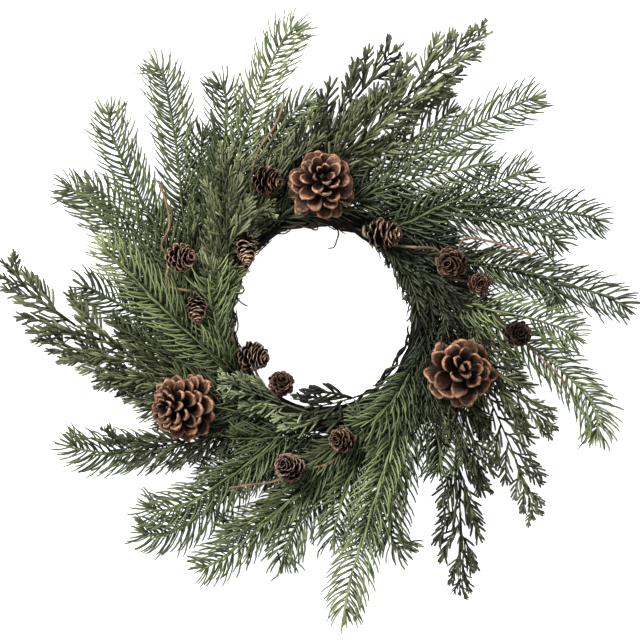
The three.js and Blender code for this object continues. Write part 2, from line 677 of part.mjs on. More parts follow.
// The first clear rod of a wanted size from a root, as it leans out of its stem
function reachOut(kind, owner, head, order, root, way, out, lean, size, thick, crosses) {
  for (const bend of BENDS) {
    const angle = THREE.MathUtils.degToRad(Math.max(lean + bend.lean, LEAST_LEAN));
    const aside = out.clone();
    aside.z = aside.z * FLATTEN + bend.rise;
    const to = root.clone().addScaledVector(way, size * bend.size * Math.cos(angle));
    to.addScaledVector(aside, size * bend.size * Math.sin(angle));
    const reach = { ...rod(owner, head, kind, root, to, thick, NEEDLE_END), order };
    if (isClear(reach) && !crosses(to)) {
      rods.push(reach);
      return to;
    }
  }
  return null;
}

function outOf(growth, triangle, band) {
  const out = growth.centre(triangle).sub(band.at);
  return out.addScaledVector(band.way, -out.dot(band.way)).normalize();
}

// Needles in opposite pairs, each pair turned by a sixth of a turn from the last
function growNeedles(name, head, growth, bands, random) {
  let run = 0;
  const pending = bands.flatMap((band) => band.triangles);
  bands.forEach((band, i) => {
    run += FIR_STEP;
    if (band.end) {
      growth.spike(band.end, band.tip);
      return;
    }
    const share = i / (bands.length - 1);
    const pair = (3 - (i % 3)) % 3;
    const chosen = [2 * pair, (2 * pair + 3) % 6];
    band.triangles.forEach((triangle, n) => {
      if (run <= BARE || !chosen.includes(n)) {
        growth.plain(triangle);
        return;
      }
      const lean = FIR_LEAN - FIR_CLOSING * share ** 3 + FIR_SPREAD * (random() - 0.5);
      const whole = FIR_NEEDLE * (1 - FIR_SHORTENING * share ** 4);
      const size = whole * (1 + FIR_SIZE_SPREAD * (random() - 0.5));
      const root = growth.centre(triangle);
      const out = outOf(growth, triangle, band);
      const crosses = (to) => growth.crosses(triangle, to, pending);
      const to = reachOut("needle", name, head, i, root, band.way, out, lean, size, NEEDLE_ROOT, crosses);
      if (to) growth.spike(triangle, to);
      else growth.plain(triangle);
    });
  });
}

// A flat twig with three leaflets and a tip, raised from a triangle of the stem
function growFan(name, head, order, growth, triangle, band, size, random, pending) {
  const out = outOf(growth, triangle, band);
  const root = growth.centre(triangle);
  const lean = CEDAR_LEAN + CEDAR_SPREAD * (random() - 0.5);
  const clash = (to) => growth.crosses(triangle, to, pending);
  const tip = reachOut("twig", name, head, order, root, band.way, out, lean, size, FAN_ROOT, clash);
  if (!tip) {
    growth.plain(triangle);
    return;
  }
  const way = tip.clone().sub(root).normalize();
  const waist = root.clone().lerp(tip, WAIST_SHARE);
  const first = growth.points[triangle[0]].clone().sub(root);
  const side = first.addScaledVector(way, -first.dot(way)).normalize();
  const front = growth.section(waist, way, side, TWIG_WAIST, 3, Math.PI / 3);
  const twig = { at: root.clone().lerp(waist, 0.5), way };
  const faces = growth.band(triangle, front);
  growth.spike(front, tip);
  faces.forEach((face, n) => {
    const from = growth.centre(face);
    const leafOut = outOf(growth, face, twig);
    const cross = (to) => growth.crosses(face, to, [...pending, ...faces]);
    const leaf = n % 2 === 0
      ? reachOut("leaf", name, head, order, from, way, leafOut, LEAF_LEAN, LEAF_SIZE, LEAF_ROOT, cross)
      : null;
    if (leaf) growth.spike(face, leaf);
    else growth.plain(face);
  });
}

// Fans to the left, the right and now and then on top
function growFans(name, head, growth, bands, random) {
  let run = 0;
  const pending = bands.flatMap((band) => band.triangles);
  bands.forEach((band, i) => {
    run += CEDAR_STEP;
    if (band.end) {
      growth.spike(band.end, band.tip);
      return;
    }
    const share = i / (bands.length - 1);
    const left = new THREE.Vector3().crossVectors(UP, band.way).normalize();
    const rise = i % TOP_EVERY === 2 ? TOP_RISE : FAN_RISE;
    const wanted = left.multiplyScalar(i % 2 ? 1 : -1).addScaledVector(UP, rise);
    let best = 0;
    band.triangles.forEach((triangle, n) => {
      const score = outOf(growth, triangle, band).dot(wanted);
      if (score > outOf(growth, band.triangles[best], band).dot(wanted)) best = n;
    });
    band.triangles.forEach((triangle, n) => {
      if (run > BARE && n === best) {
        const whole = CEDAR_TWIG * (1 - CEDAR_SHORTENING * share ** 2);
        const size = whole * (1 + CEDAR_SIZE_SPREAD * (random() - 0.5));
        growFan(name, head, i, growth, triangle, band, size, random, pending);
      } else {
        growth.plain(triangle);
      }
    });
  });
}

// The wire twigs run from the ring under the base of each cone
function conePlace(name) {
  const { at, tip } = LARCH_CONES[name];
  const along = vector(tip).normalize();
  const back = -LARCH_CONE.length / 2 - LARCH_STALK;
  return { along, under: vector(at).addScaledVector(along, back) };
}

function wireTwig(twig) {
  const place = seat(twig.clock, twig.flank);
  const through = twig.way.map((p) => (typeof p === "string" ? conePlace(p).under : vector(p)));
  const leave = place.point.clone().addScaledVector(place.normal, WIRE_LEAVE);
  const curve = new THREE.CatmullRomCurve3([place.point, leave, ...through], false, "centripetal");
  const count = Math.round(curve.getLength() / WIRE_STEP);
  const points = curve.getSpacedPoints(count);
  const growth = new Growth();
  const bands = stem(growth, points, place.normal, WIRE, WIRE * WIRE_TAPER);
  bands.forEach((band) => {
    if (band.end) growth.spike(band.end, band.tip);
    else band.triangles.forEach((triangle) => growth.plain(triangle));
  });
  points.slice(1).forEach((p, i) => rods.push(rod(twig.name, 0, "wire", points[i], p, WIRE, WIRE)));
  return { mesh: piece(twig.name, growth.geometry(), WIRE_BROWN, 0.7), points };
}

// The point of a twig nearest to a place
function nearestOn(points, place) {
  let best = points[0];
  points.slice(1).forEach((p, i) => {
    const near = new THREE.Line3(points[i], p).closestPointToPoint(place, true, new THREE.Vector3());
    if (near.distanceTo(place) < best.distanceTo(place)) best = near;
  });
  return best;
}

const wreath = new THREE.Group();
wreath.add(vines);

TWIGS.forEach((twig) => {
  const { mesh, points } = wireTwig(twig);
  wreath.add(mesh);
  twig.way.filter((p) => typeof p === "string").forEach((name) => {
    const { at, tip, colour } = LARCH_CONES[name];
    const { along, under } = conePlace(name);
    const near = nearestOn(points, under);
    const base = vector(at).addScaledVector(along, -LARCH_CONE.length / 2);
    const way = base.sub(near).normalize();
    const from = near.clone().addScaledVector(way, WIRE + WIRE_GAP);
    wreath.add(cone(name, colour, at, tip, LARCH_CONE, from, way));
  });
});

PINE_CONES.forEach(({ name, at, tip, clock, flank }) => {
  const place = seat(clock, flank);
  wreath.add(cone(name, CONE_BROWN, at, tip, PINE_CONE, place.point, place.normal));
});

// Every stem is placed before any needle, so that needles bend round stems and not through them
const sprays = [
  ...FIR_SPRAYS.map((spray) => ({ spray, step: FIR_STEP, grow: growNeedles })),
  ...CEDAR_SPRAYS.map((spray) => ({ spray, step: CEDAR_STEP, grow: growFans })),
];
const stemmed = sprays.map(({ spray, step, grow }) => ({ spray, grow, heads: sprayStems(spray, step) }));
stemmed.forEach(({ spray, grow, heads }, n) => {
  const random = seeded(FIRST_SEED + n);
  heads.forEach(({ head, growth, bands }) => grow(spray.name, head, growth, bands, random));
  const geometry = fused(heads.map(({ growth }) => growth));
  wreath.add(piece(spray.name, geometry, spray.colour, 0.75));
});

// The origin is under the middle of the wreath's box
const centre = new THREE.Box3().setFromObject(wreath).getCenter(new THREE.Vector3());
wreath.position.set(-centre.x, -centre.y, 0);

export default wreath;
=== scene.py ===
"""A pinecone wreath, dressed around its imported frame: vines, fir and cedar sprays, bare twigs and cones.

The wreath lies on its back. Sizes below are in millimetres and places are measured from the middle of
the ring, +X to the right and +Y to the top as the wreath hangs. A clock angle runs from the top
towards +X, and a flank is a place round the ring's thickness: 0 is its outer side, 90 its face.
"""

import math
from types import SimpleNamespace

import bpy
import numpy as np
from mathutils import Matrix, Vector


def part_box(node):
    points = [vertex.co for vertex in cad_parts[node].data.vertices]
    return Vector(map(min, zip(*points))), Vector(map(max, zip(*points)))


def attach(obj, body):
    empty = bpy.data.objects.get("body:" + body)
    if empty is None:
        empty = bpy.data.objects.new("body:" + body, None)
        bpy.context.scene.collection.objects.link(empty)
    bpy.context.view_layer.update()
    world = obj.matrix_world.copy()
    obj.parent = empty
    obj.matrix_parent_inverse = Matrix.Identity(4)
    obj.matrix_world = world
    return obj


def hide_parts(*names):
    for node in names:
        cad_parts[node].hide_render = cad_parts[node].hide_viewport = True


bl_info = {
    "name": "Pinecone Wreath",
    "version": (1, 0, 0),
    "blender": (4, 5, 0),
    "location": "View3D > Sidebar > Wreath",
    "description": "Grows the sprays, cones and vines of a wreath, and sets a pale studio round it",
    "category": "Add Mesh",
}

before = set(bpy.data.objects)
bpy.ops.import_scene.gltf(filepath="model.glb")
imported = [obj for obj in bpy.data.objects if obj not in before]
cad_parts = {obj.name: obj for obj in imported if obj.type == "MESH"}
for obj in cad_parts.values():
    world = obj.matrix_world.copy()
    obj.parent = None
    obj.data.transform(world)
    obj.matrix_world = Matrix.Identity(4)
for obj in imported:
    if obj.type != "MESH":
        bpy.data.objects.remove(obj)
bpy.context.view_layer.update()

MM = 0.001
UP = np.array([0.0, 0.0, 1.0])
GOLDEN = math.radians(137.508)

# The vine ring, as its solid is
RING_REACH = 98.0
RING_HALF = 13.5
RING_HEIGHT = 12.5
RING_MIDDLE = sum(np.array(corner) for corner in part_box("vine_ring")) / (2 * MM) * [1, 1, 0]

# The ring is thinnest near the first of these clock angles and stands out there, and loose vines hang
# furthest into its hole near the second
THIN_CLOCK = 335
LOW_CLOCK = 126.0
# The ring's core is this many vines, this thick and this far from the ring's middle line
CORE_VINES = 6
CORE_THICK = 3.6
CORE_REACH = 5.2
# Thin vines are between these thicknesses, and run this many degrees round the ring
THIN_VINES = (1.1, 2.1)
THIN_RUNS = (230, 350)
# Stretches of loose vines: first and last clock angle, how many (or as many as the panel says), how
# far outward they lie and how thick they are
LOOSE_VINES = [(235, 350, None, 0.0, 0.7), (94, 124, 7, 0.0, 1.2), (262, 296, 12, 5.5, 0.75)]
# Vines thinner than this are weathered. Every vine is this much of its thickness at its end points.
WEATHERED_VINE = 1.0
VINE_ENDS = (0.45, 0.7, 0.9)

# Seeds of the random draws, to which a piece's number is added
SEEDS = {"vines": 11, "fir": 100, "cedar": 200, "short": 300, "twig": 400, "pine": 500, "larch": 600}

# Spray stems are rooted this deep in the ring, and leave along its surface's normal for this share of
# their run. A second head forks out of the first this far along it.
ROOT_SINK = 5.0
LEAVE_SHARE = 0.13
FORK_AT = 15.0
# The foot of a twig or a cone's stalk lies this deep in the ring
STALK_SINK = 2.0
# Distance between the points along a stem
STEM_GRAIN = 3.0
# Rows of needles stop this far before the tip, and close up and shorten over the last of the stem
TUFT_ROOM = 2.5
CLOSING_RUN = 34.0
# A needle bends this many degrees, most towards its tip: its turn grows with this power of the way
NEEDLE_BEND = 38
HOOK = 1.7
# The last fan beside a cedar spray's stem leaves it this far from the tip, and the fan that is the tip
# itself starts this far from it
NEAREST_FAN = 5.0
TIP_FAN = 15.0
# A fan's size grows with its distance from the tip
FAN_GROWTH = ([0, 15, 60, 120], [0.34, 0.5, 1.0, 1.35])
# Leaves end at least this far above the surface below
LOWEST = 1.5
# Painted shade: leaves that stand closer to the middle and lower than this, deep in the wreath, are up to
# this much darker
DEEP_REACH = 165
DEEP_HEIGHT = 40
DEEP_SHADE_TONE = -0.75

# Rows of needles round a stem: roll from its right side, lean, length and tone. The tone is painted light and
# shade: the rows on top are lighter, those underneath darker.
NEEDLE_ROWS = [
    (2, 60, 1.0, -0.05), (178, 60, 1.0, -0.05), (38, 52, 0.95, 0.14), (142, 52, 0.95, 0.14),
    (-36, 57, 0.98, -0.45), (216, 57, 0.98, -0.45), (90, 38, 0.8, 0.2),
]
# Widths along a leaf: a needle of a long spray, one of a short spray, and a cedar leaflet
NEEDLE_OUTLINE = [(0.0, 0.66), (0.25, 1.0), (0.55, 1.0), (0.8, 0.92), (0.96, 0.7)]
PLAIN_OUTLINE = [(0.0, 0.7), (0.4, 1.0), (0.86, 0.78)]
LEAFLET_OUTLINE = [(0.0, 0.55), (0.35, 0.95), (0.75, 1.0), (0.93, 0.76)]

# Fir sprays, in the CAD solids' order: slot, clock angle and flank of the root, then for each head
# its bow to the left of its way, the height of its middle and its tip
FIR_SPRAYS = [
    ("light_fir", (303, 12), [(19, 36, (-25, 277, 34)), (12, 21, (-14, 207, 20))]),
    ("dark_fir", (285, 30), [(-3, 27, (-102, 226, 26)), (4, 13, (-115, 177, 14))]),
    ("mid_fir", (268, -8), [(2, 20, (-162, 241, 24)), (7, 33, (-203, 199, 34))]),
    ("mid_fir", (255, 20), [(1, 13, (-247, 126, 18)), (-8, 25, (-222, 124, 40))]),
    ("light_fir", (238, 78), [(2, 47, (-208, 68, 44))]),
    ("dark_fir", (249, -12), [(1, 10, (-233, 30, 12))]),
    ("mid_fir", (210, 5), [(18, 14, (-243, -120, 20))]),
    ("mid_fir", (197, 55), [(15, 30, (-166, -180, 30)), (16, 15, (-173, -206, 16))]),
    ("mid_fir", (164, 40), [(12, 22, (-115, -238, 30)), (14, 22, (-94, -204, 18))]),
    ("mid_fir", (152, 10), [(-2, 15, (-36, -233, 16)), (-5, 27, (12, -212, 24))]),
    ("light_fir", (131, 60), [(-1, 38, (23, -281, 34)), (2, 22, (45, -210, 22))]),
    ("mid_fir", (114, 35), [(-11, 30, (78, -220, 28)), (4, 19, (109, -145, 34))]),
    ("light_fir", (115, 88), [(10, 42, (33, -94, 42))]),
    ("light_fir", (77, 50), [(25, 24, (262, -111, 26)), (4, 51, (239, -18, 36))]),
    ("dark_fir", (60, 10), [(11, 15, (290, 13, 20)), (15, 26, (225, 18, 26))]),
    ("dark_fir", (28, 15), [(14, 21, (266, 94, 22)), (10, 33, (224, 73, 32))]),
    ("mid_fir", (36, 68), [(2, 40, (195, 141, 36))]),
    ("light_fir", (12, 30), [(8, 29, (202, 212, 32)), (3, 41, (155, 147, 44))]),
    ("mid_fir", (3, -10), [(3, 12, (122, 201, 14))]),
    ("light_fir", (247, 78), [(10, 43, (-97, 51, 40))]),
]

# Sprays whose needles are lighter or darker than their slot's colour
SHADED_FIR = {5: 0.15, 8: 0.1, 9: 0.12, 10: 0.14, 11: 0.1, 12: -0.25, 13: -0.2, 16: -0.1, 17: -0.2,
              18: -0.35, 20: 0.25}
# Sprays whose needles stand further apart
SPARSE_FIR = {15: 1.2, 16: 1.3, 17: 1.35, 18: 1.3, 19: 1.35}
# Sprays whose needles stay this far from the middle of the ring
FIR_INNER = {20: 79.5, 5: 80.5}

# Cedar sprays, likewise
CEDAR_SPRAYS = [
    ("olive_cedar", (234, 25), [(26, 20, (-300, 57, 30))]),
    ("olive_cedar", (227, 5), [(8, 13, (-274, -18, 22)), (1, 16, (-216, -57, 26))]),
    ("dark_cedar", (217, 48), [(23, 25, (-207, -105, 30))]),
    ("dark_cedar", (101, 0), [(13, 13, (132, -266, 16)), (3, 25, (154, -164, 26))]),
    ("olive_cedar", (90, 5), [(14, 15, (203, -193, 18)), (0, 27, (221, -107, 20))]),
    ("dark_cedar", (66, 35), [(9, 22, (189, -66, 28))]),
    ("dark_cedar", (345, 15), [(9, 13, (70, 262, 16))]),
    ("olive_cedar", (352, 10), [(11, 23, (156, 276, 28)), (14, 27, (120, 220, 38))]),
    ("olive_cedar", (324, 45), [(1, 31, (-5, 201, 32))]),
    ("olive_cedar", (266, 100), [(-2, 53, (-91, 160, 40))]),
    ("sage_cedar", (292, 40), [(16, 30, (-49, 103, 40))]),
    ("sage_cedar", (173, 85), [(2, 40, (-97, -56, 42))]),
    ("dark_cedar", (141, 150), [(4, 27, (-16, -78, 26))]),
    ("olive_cedar", (45, 100), [(8, 37, (117, -3, 38))]),
]
# Sprays with larger leaflets, with lighter or darker ones, and ones kept from the middle of the ring. Spray
# 14 is darkened as painted shade, over the ring's right side.
BROAD_CEDAR = {1: 1.22, 2: 1.16, 4: 1.1, 5: 1.1, 7: 1.35, 8: 1.25, 9: 1.15, 10: 1.15, 11: 1.25,
               12: 1.1, 13: 1.65, 14: 1.35}
SHADED_CEDAR = {1: -0.15, 2: -0.15, 4: -0.2, 5: -0.2, 8: 0.1, 10: 0.15, 13: -0.4, 14: -1.2}
CEDAR_INNER = {10: 94.0}

# Short sprays that fill in round the ring: slot, first and last clock angle, how many, flank, reach
# of the tip, how far it sweeps round in degrees and its height
FILLING = [
    ("mid_fir", 150, 325, 12, 12, 190, 44, 20),
    ("dark_fir", 140, 335, 14, -8, 168, 40, 9),
    ("mid_fir", 25, 140, 3, 15, 160, 42, 18),
    ("dark_fir", 25, 140, 8, -8, 146, 40, 9),
    ("dark_fir", 330, 385, 5, 20, 146, 36, 14),
    ("mid_fir", 120, 250, 8, 60, 140, 40, 34),
    ("dark_fir", 15, 110, 5, 55, 130, 40, 32),
    ("dark_fir", 208, 240, 4, 110, 94, 28, 32),
    ("dark_fir", 308, 350, 6, 70, 117, 26, 30),
    ("olive_cedar", 245, 300, 4, 40, 165, 40, 30),
    ("olive_cedar", 60, 120, 4, 40, 160, 38, 28),
    ("dark_cedar", 18, 44, 4, 115, 91, 34, 34),
    ("dark_fir", 88, 118, 5, 116, 95, 27, 31),
    ("dark_fir", 20, 56, 8, 106, 87, 26, 36),
    ("light_fir", 242, 265, 5, 92, 92, 28, 38),
]
# Their leaves are this share of a long spray's. Those before this clock angle that reach less far
# than this lie in the others' shade, and are this much darker.
SHORT_SHARE = 0.9
SHADY_CLOCK = 125.0
SHADY_REACH = 135.0
SHADY_TONE = -0.45

# Open pine cones: middle, the way the tip points, where the stalk is held, how many scales, their
# length and width, their leans from the base to the tip, and how far they stray from their places
PINE_CONES = {
    "top": ((-1, 131, 52), (0.03, 0.3, 0.95), (359, 66), 40, 28.0, 16.5, (102, 84, 70, 58, 44, 18), 0.13),
    "left": ((-139, -84, 51), (-0.55, 0.02, 0.83), (232, 50), 56, 27.5, 14.4,
             (100, 80, 67, 56, 45, 20), 0.12),
    "right": ((131, -49, 54), (0.12, 0.14, 0.98), (108, 38), 30, 30.0, 18.5,
              (100, 82, 68, 54, 40, 18), 0.16),
}
# A pine cone's base lies this far below its middle, and its core is this long and thick
PINE_BASE = 21.0
PINE_CORE = (36.0, 5.5)
# A pine cone's scales, as shares of their length: the grid of points, where the blade is widest, the
# width of the neck, how the sides and the tip rise, how thick the root and the blade are, the boss
# near the tip and the width of the worn rim. Then how worn the pad behind the rim is, and all of the
# scale, how unevenly pale the scales are, the power of its size that a scale's width follows, in
# millimetres how far from the axis and how far up it they sit, and their size along the cone.
PINE_SCALES = {
    "rows": 11, "columns": 9, "shoulder": 0.7, "neck": 0.28, "cup": 0.1, "curl": 0.2, "thin": 0.05,
    "thick": 0.15, "boss": 0.04, "rim": 0.03, "pad": 0.24, "wear": 1.15, "pale": 0.17, "narrow": 1.25,
    "core": 4.0, "climb": ([0, 0.3, 0.6, 1], [1, 7, 16, 32]),
    "spread": ([0, 0.15, 0.5, 0.75, 0.9, 1], [0.92, 1.0, 0.94, 0.78, 0.6, 0.44]),
}
# Shares of the cone's length at which its scales have the leans above
PINE_LEANS_AT = [0, 0.3, 0.55, 0.75, 0.9, 1]

# Larch cones: middle, the way the tip points, length and breadth as shares of the usual ones, how
# worn their rims are, and slot
LARCH_CONES = {
    "01": ((-52, 131, 50), (0.85, -0.1, 0.5), 1.0, 1.0, 0.82, "larch_brown"),
    "02": ((-133, 58, 54), (0.72, 0.05, 0.68), 1.02, 1.0, 1.3, "larch_brown"),
    "03": ((-73, 65, 48), (0.15, -0.9, 0.42), 1.1, 0.85, 2.8, "larch_tan"),
    "04": ((-120, 8, 50), (0.1, -0.75, 0.6), 1.15, 0.76, 1.65, "larch_brown"),
    "05": ((-65, -36, 39), (0.8, -0.15, 0.56), 1.05, 1.05, 0.95, "larch_tan"),
    "06": ((-40, -61, 33), (0.1, 0.35, 0.93), 0.95, 0.9, 0.7, "larch_brown"),
    "07": ((59, 80, 53), (0.9, 0.02, 0.42), 1.1, 1.08, 0.9, "larch_tan"),
    "08": ((121, 53, 52), (-0.3, -0.1, 0.95), 1.0, 1.1, 0.6, "larch_brown"),
    "09": ((149, 33, 50), (0.0, 0.05, 1.0), 0.9, 0.82, 0.65, "larch_brown"),
    "10": ((186, -14, 50), (0.05, 0.05, 1.0), 0.95, 0.9, 0.5, "larch_dark"),
    "11": ((17, -115, 46), (-0.5, 0.15, 0.85), 0.95, 0.88, 0.75, "larch_brown"),
    "12": ((-33, -140, 52), (-0.4, 0.3, 0.87), 1.1, 1.0, 1.7, "larch_dark"),
}
LARCH_LENGTH = 29.0
LARCH_STALK = 5.0
# Their scales, likewise, with their usual length and width, and how far they stray from their places
LARCH_SCALE = (12.2, 9.0)
LARCH_SCALES = {
    "rows": 6, "columns": 5, "shoulder": 0.45, "neck": 0.5, "cup": 0.16, "curl": 0.12, "thin": 0.03,
    "thick": 0.045, "boss": 0.0, "rim": 0.045, "pad": 0.05, "pale": 0.06, "narrow": 0.8, "core": 3.2,
    "stray": 0.1, "spread": ([0, 0.2, 0.7, 1], [0.66, 1.0, 0.92, 0.6]),
}
# Cones narrower than this share are nearly shut: their scales lean out by this share of the usual
NARROW_LARCH = 0.87
SHUT_SHARE = 0.76
# Streaks of fibre over a cone scale's width, and how far they shift from one scale to the next
FIBRES = 13.0
FIBRE_SHIFT = 5.3
# Leaves keep out of a round room about each cone: its middle, reach and how far below it starts
CONE_ROOM = [(at, 32.0, 14.0) for at, *_ in PINE_CONES.values()]
CONE_ROOM += [(at, 14.0, 8.0) for at, *_ in LARCH_CONES.values()]

# Bare twigs: clock angle and flank of the root, then the points and larch cones along the way
TWIGS = {
    "01": (318, 45, [(-78, 90, 30), "03", (-68, 104, 41), "01", (-62, 160, 42), (-46, 184, 44),
                     (-36, 208, 42)]),
    "02": (276, 70, [(-117, 15, 28), "04", (-149, 33, 38), "02", (-154, 70, 44), (-146, 88, 49),
                     (-149, 110, 50), (-156, 131, 50)]),
    "03": (266, 130, [(-87, -16, 32), "05", (-67, -47, 27), (-55, -68, 24), "06"]),
    "04": (24, 92, ["07", (56, 74, 38), (70, 70, 47), (88, 68, 50), (106, 67, 44), "08", (134, 76, 40),
                    (158, 74, 48), (199, 60, 50)]),
    "05": (68, 72, ["09", (158, 11, 32), "10", (205, -34, 38), (218, -47, 46), (232, -63, 46)]),
    "06": (168, 75, ["11", (8, -137, 36), "12", (-46, -155, 42), (-70, -158, 46), (-89, -161, 46)]),
}
# A twig leaves the ring straight for this far, and is this much thicker at every fifth point
TWIG_LEAVE = 6.0
TWIG_KNOB = 1.3

# Loose tendrils of the vines: thickness and the points along them
TENDRILS = [
    (0.45, [(-22, 92, 22), (-14, 89.5, 24), (-9, 86, 25), (-5, 86.5, 24), (-6, 91, 22)]),
    (0.42, [(13, 89, 22), (15, 82.5, 25), (13, 75, 27), (10.5, 69, 28), (5, 68, 28)]),
    (0.40, [(-84, 22, 20), (-79, 16, 26), (-73, 12.5, 27)]),
    (0.40, [(-86, 38, 20), (-80, 34, 26), (-76, 28, 26), (-80, 24, 22), (-86, 27, 18)]),
    (0.40, [(-87, 8, 20), (-83, 2, 26), (-82, -8, 27), (-85, -15, 20)]),
    (0.42, [(70, -54, 22), (75, -44, 26), (81, -36, 26), (87, -34, 20)]),
    (0.45, [(-44, -226, 18), (-41, -236, 22), (-43, -246, 22), (-50, -253, 20)]),
    (0.42, [(6, -214, 16), (4, -217, 20), (-4, -224, 22), (-5, -232, 18)]),
]

# The photograph's frame: 640 pixels of 0.96 mm at this height, with the ring's middle at this pixel
PIXEL = 0.96
PHOTO_SIDE = 640
FOCUS_HEIGHT = 32.0
RING_PIXEL = (323.0, 319.0)
LENS = 100.0
SENSOR = 36.0
# Half the floor's side and how far the camera sees, in metres
FLOOR_HALF = 10.0
CAMERA_REACH = 20.0
# Lights, in metres: place, size and share of the key light's power
LIGHTS = {"key": ((-0.9, 1.0, 1.3), 0.6, 1.0), "front": ((0.4, -0.5, 2.1), 1.2, 0.2)}


def linear(hex_colour):
    """An sRGB hex colour as linear red, green, blue and alpha."""
    channels = [int(hex_colour[i:i + 2], 16) / 255 for i in (1, 3, 5)]
    return [c / 12.92 if c <= 0.04045 else ((c + 0.055) / 1.055) ** 2.4 for c in channels] + [1.0]


def unit(vectors):
    """Vectors brought to length one."""
    return vectors / np.maximum(np.linalg.norm(vectors, axis=-1, keepdims=True), 1e-9)


def turned(vectors, axes, angles):
    """Vectors turned about unit axes, each by its angle in radians."""
    cos, sin = np.cos(angles)[..., None], np.sin(angles)[..., None]
    along = np.sum(vectors * axes, axis=-1, keepdims=True) * axes
    return vectors * cos + np.cross(axes, vectors) * sin + along * (1 - cos)


def leaning(ways, outs, angles):
    """Directions that lean by an angle from a way towards a way out."""
    return np.cos(angles)[..., None] * ways + np.sin(angles)[..., None] * outs


def draws(kind, number=0):
    """The random draws of a piece, the same at each run."""
    return np.random.default_rng(SEEDS[kind] + number)


class Piece:
    """Collects closed shapes, with a tone and a place along and across for each point."""

    def __init__(self):
        self.points, self.quads, self.threes = [], [], []
        self.layers = {"tone": [], "along": [], "across": []}
        self.finishes = {3: [], 4: []}
        self.size = 0

    def add(self, points, tones, alongs, quads, threes, finish=0, acrosses=0.0):
        count = len(points)
        self.points.append(points)
        for layer, values in zip(self.layers.values(), (tones, alongs, acrosses)):
            layer.append(np.broadcast_to(values, count))
        for faces, kept, sides in ((quads, self.quads, 4), (threes, self.threes, 3)):
            if len(faces):
                kept.append(np.asarray(faces).reshape(-1, sides) + self.size)
                self.finishes[sides].append(np.full(len(kept[-1]), finish))
        self.size += count

    def object(self, name, materials):
        """The Blender object of all that was added."""
        quads = np.concatenate(self.quads) if self.quads else np.zeros((0, 4), int)
        threes = np.concatenate(self.threes) if self.threes else np.zeros((0, 3), int)
        points = (np.concatenate(self.points) + RING_MIDDLE) * MM
        mesh = bpy.data.meshes.new(name)
        mesh.vertices.add(len(points))
        mesh.vertices.foreach_set("co", points.astype(np.float32).ravel())
        corners = np.concatenate([quads.ravel(), threes.ravel()])
        mesh.loops.add(len(corners))
        mesh.loops.foreach_set("vertex_index", corners.astype(np.int32))
        starts = np.concatenate([4 * np.arange(len(quads)), 4 * len(quads) + 3 * np.arange(len(threes))])
        mesh.polygons.add(len(starts))
        mesh.polygons.foreach_set("loop_start", starts.astype(np.int32))
        finishes = np.concatenate(self.finishes[4] + self.finishes[3]).astype(np.int32)
        mesh.polygons.foreach_set("material_index", finishes)
        mesh.polygons.foreach_set("use_smooth", np.ones(len(starts), bool))
        for label, values in self.layers.items():
            layer = mesh.attributes.new(label, "FLOAT", "POINT")
            layer.data.foreach_set("value", np.concatenate(values).astype(np.float32))
        mesh.update()
        mesh.validate()
        made = bpy.data.objects.new(name, mesh)
        for material in materials:
            mesh.materials.append(material)
        bpy.context.scene.collection.objects.link(made)
        return made


def lengths_along(points):
    """How far along a run of points each of them lies."""
    return np.concatenate([[0.0], np.cumsum(np.linalg.norm(np.diff(points, axis=0), axis=1))])


def read_at(places, run, values):
    """Values along a run, read between its points."""
    return np.stack([np.interp(places, run, values[:, k]) for k in range(3)], axis=1)


def even(points, step):
    """Points at even steps along a run of points."""
    run = lengths_along(points)
    return read_at(np.linspace(0, run[-1], max(int(round(run[-1] / step)), 2) + 1), run, points)


def carried(points):
    """Directions along a run of points, and an up side carried along it without twist."""
    ways = unit(np.gradient(points, axis=0))
    middle = len(points) // 2
    ups = np.zeros_like(points)
    ups[middle] = unit(UP - ways[middle] * ways[middle][2])
    for order in (range(middle + 1, len(points)), range(middle - 1, -1, -1)):
        last = middle
        for i in order:
            ups[i] = unit(ups[last] - ways[i] * np.dot(ups[last], ways[i]))
            last = i
    return ways, ups


def through(knots, step):
    """A smooth run of points through knots, as a centripetal spline takes it."""
    knots = np.asarray(knots, float)
    padded = np.vstack([2 * knots[0] - knots[1], knots, 2 * knots[-1] - knots[-2]])
    run = []
    for a, b, c, d in zip(padded, padded[1:], padded[2:], padded[3:]):
        gaps = [max(np.linalg.norm(q - p), 1e-6) ** 0.5 for p, q in ((a, b), (b, c), (c, d))]
        leave = gaps[1] * ((b - a) / gaps[0] - (c - a) / (gaps[0] + gaps[1]) + (c - b) / gaps[1])
        arrive = gaps[1] * ((c - b) / gaps[1] - (d - b) / (gaps[1] + gaps[2]) + (d - c) / gaps[2])
        t = np.linspace(0, 1, 24, endpoint=False)[:, None]
        run.append((2 * t ** 3 - 3 * t ** 2 + 1) * b + (t ** 3 - 2 * t ** 2 + t) * leave
                   + (3 * t ** 2 - 2 * t ** 3) * c + (t ** 3 - t ** 2) * arrive)
    return even(np.vstack(run + [knots[-1:]]), step)


def ring_quads(rings, sides):
    """The quads of a stack of closed rings of points."""
    i, k = np.meshgrid(np.arange(rings - 1), np.arange(sides), indexing="ij")
    near, after = i * sides + k, i * sides + (k + 1) % sides
    return np.stack([near, after, after + sides, near + sides], axis=-1).reshape(-1, 4)


def ring_end(first, sides, apex):
    """Triangles from a ring of points, given by its first, to the point at its end."""
    k = np.arange(sides)
    return np.stack([first + k, first + (k + 1) % sides, np.full(sides, apex)], axis=1)


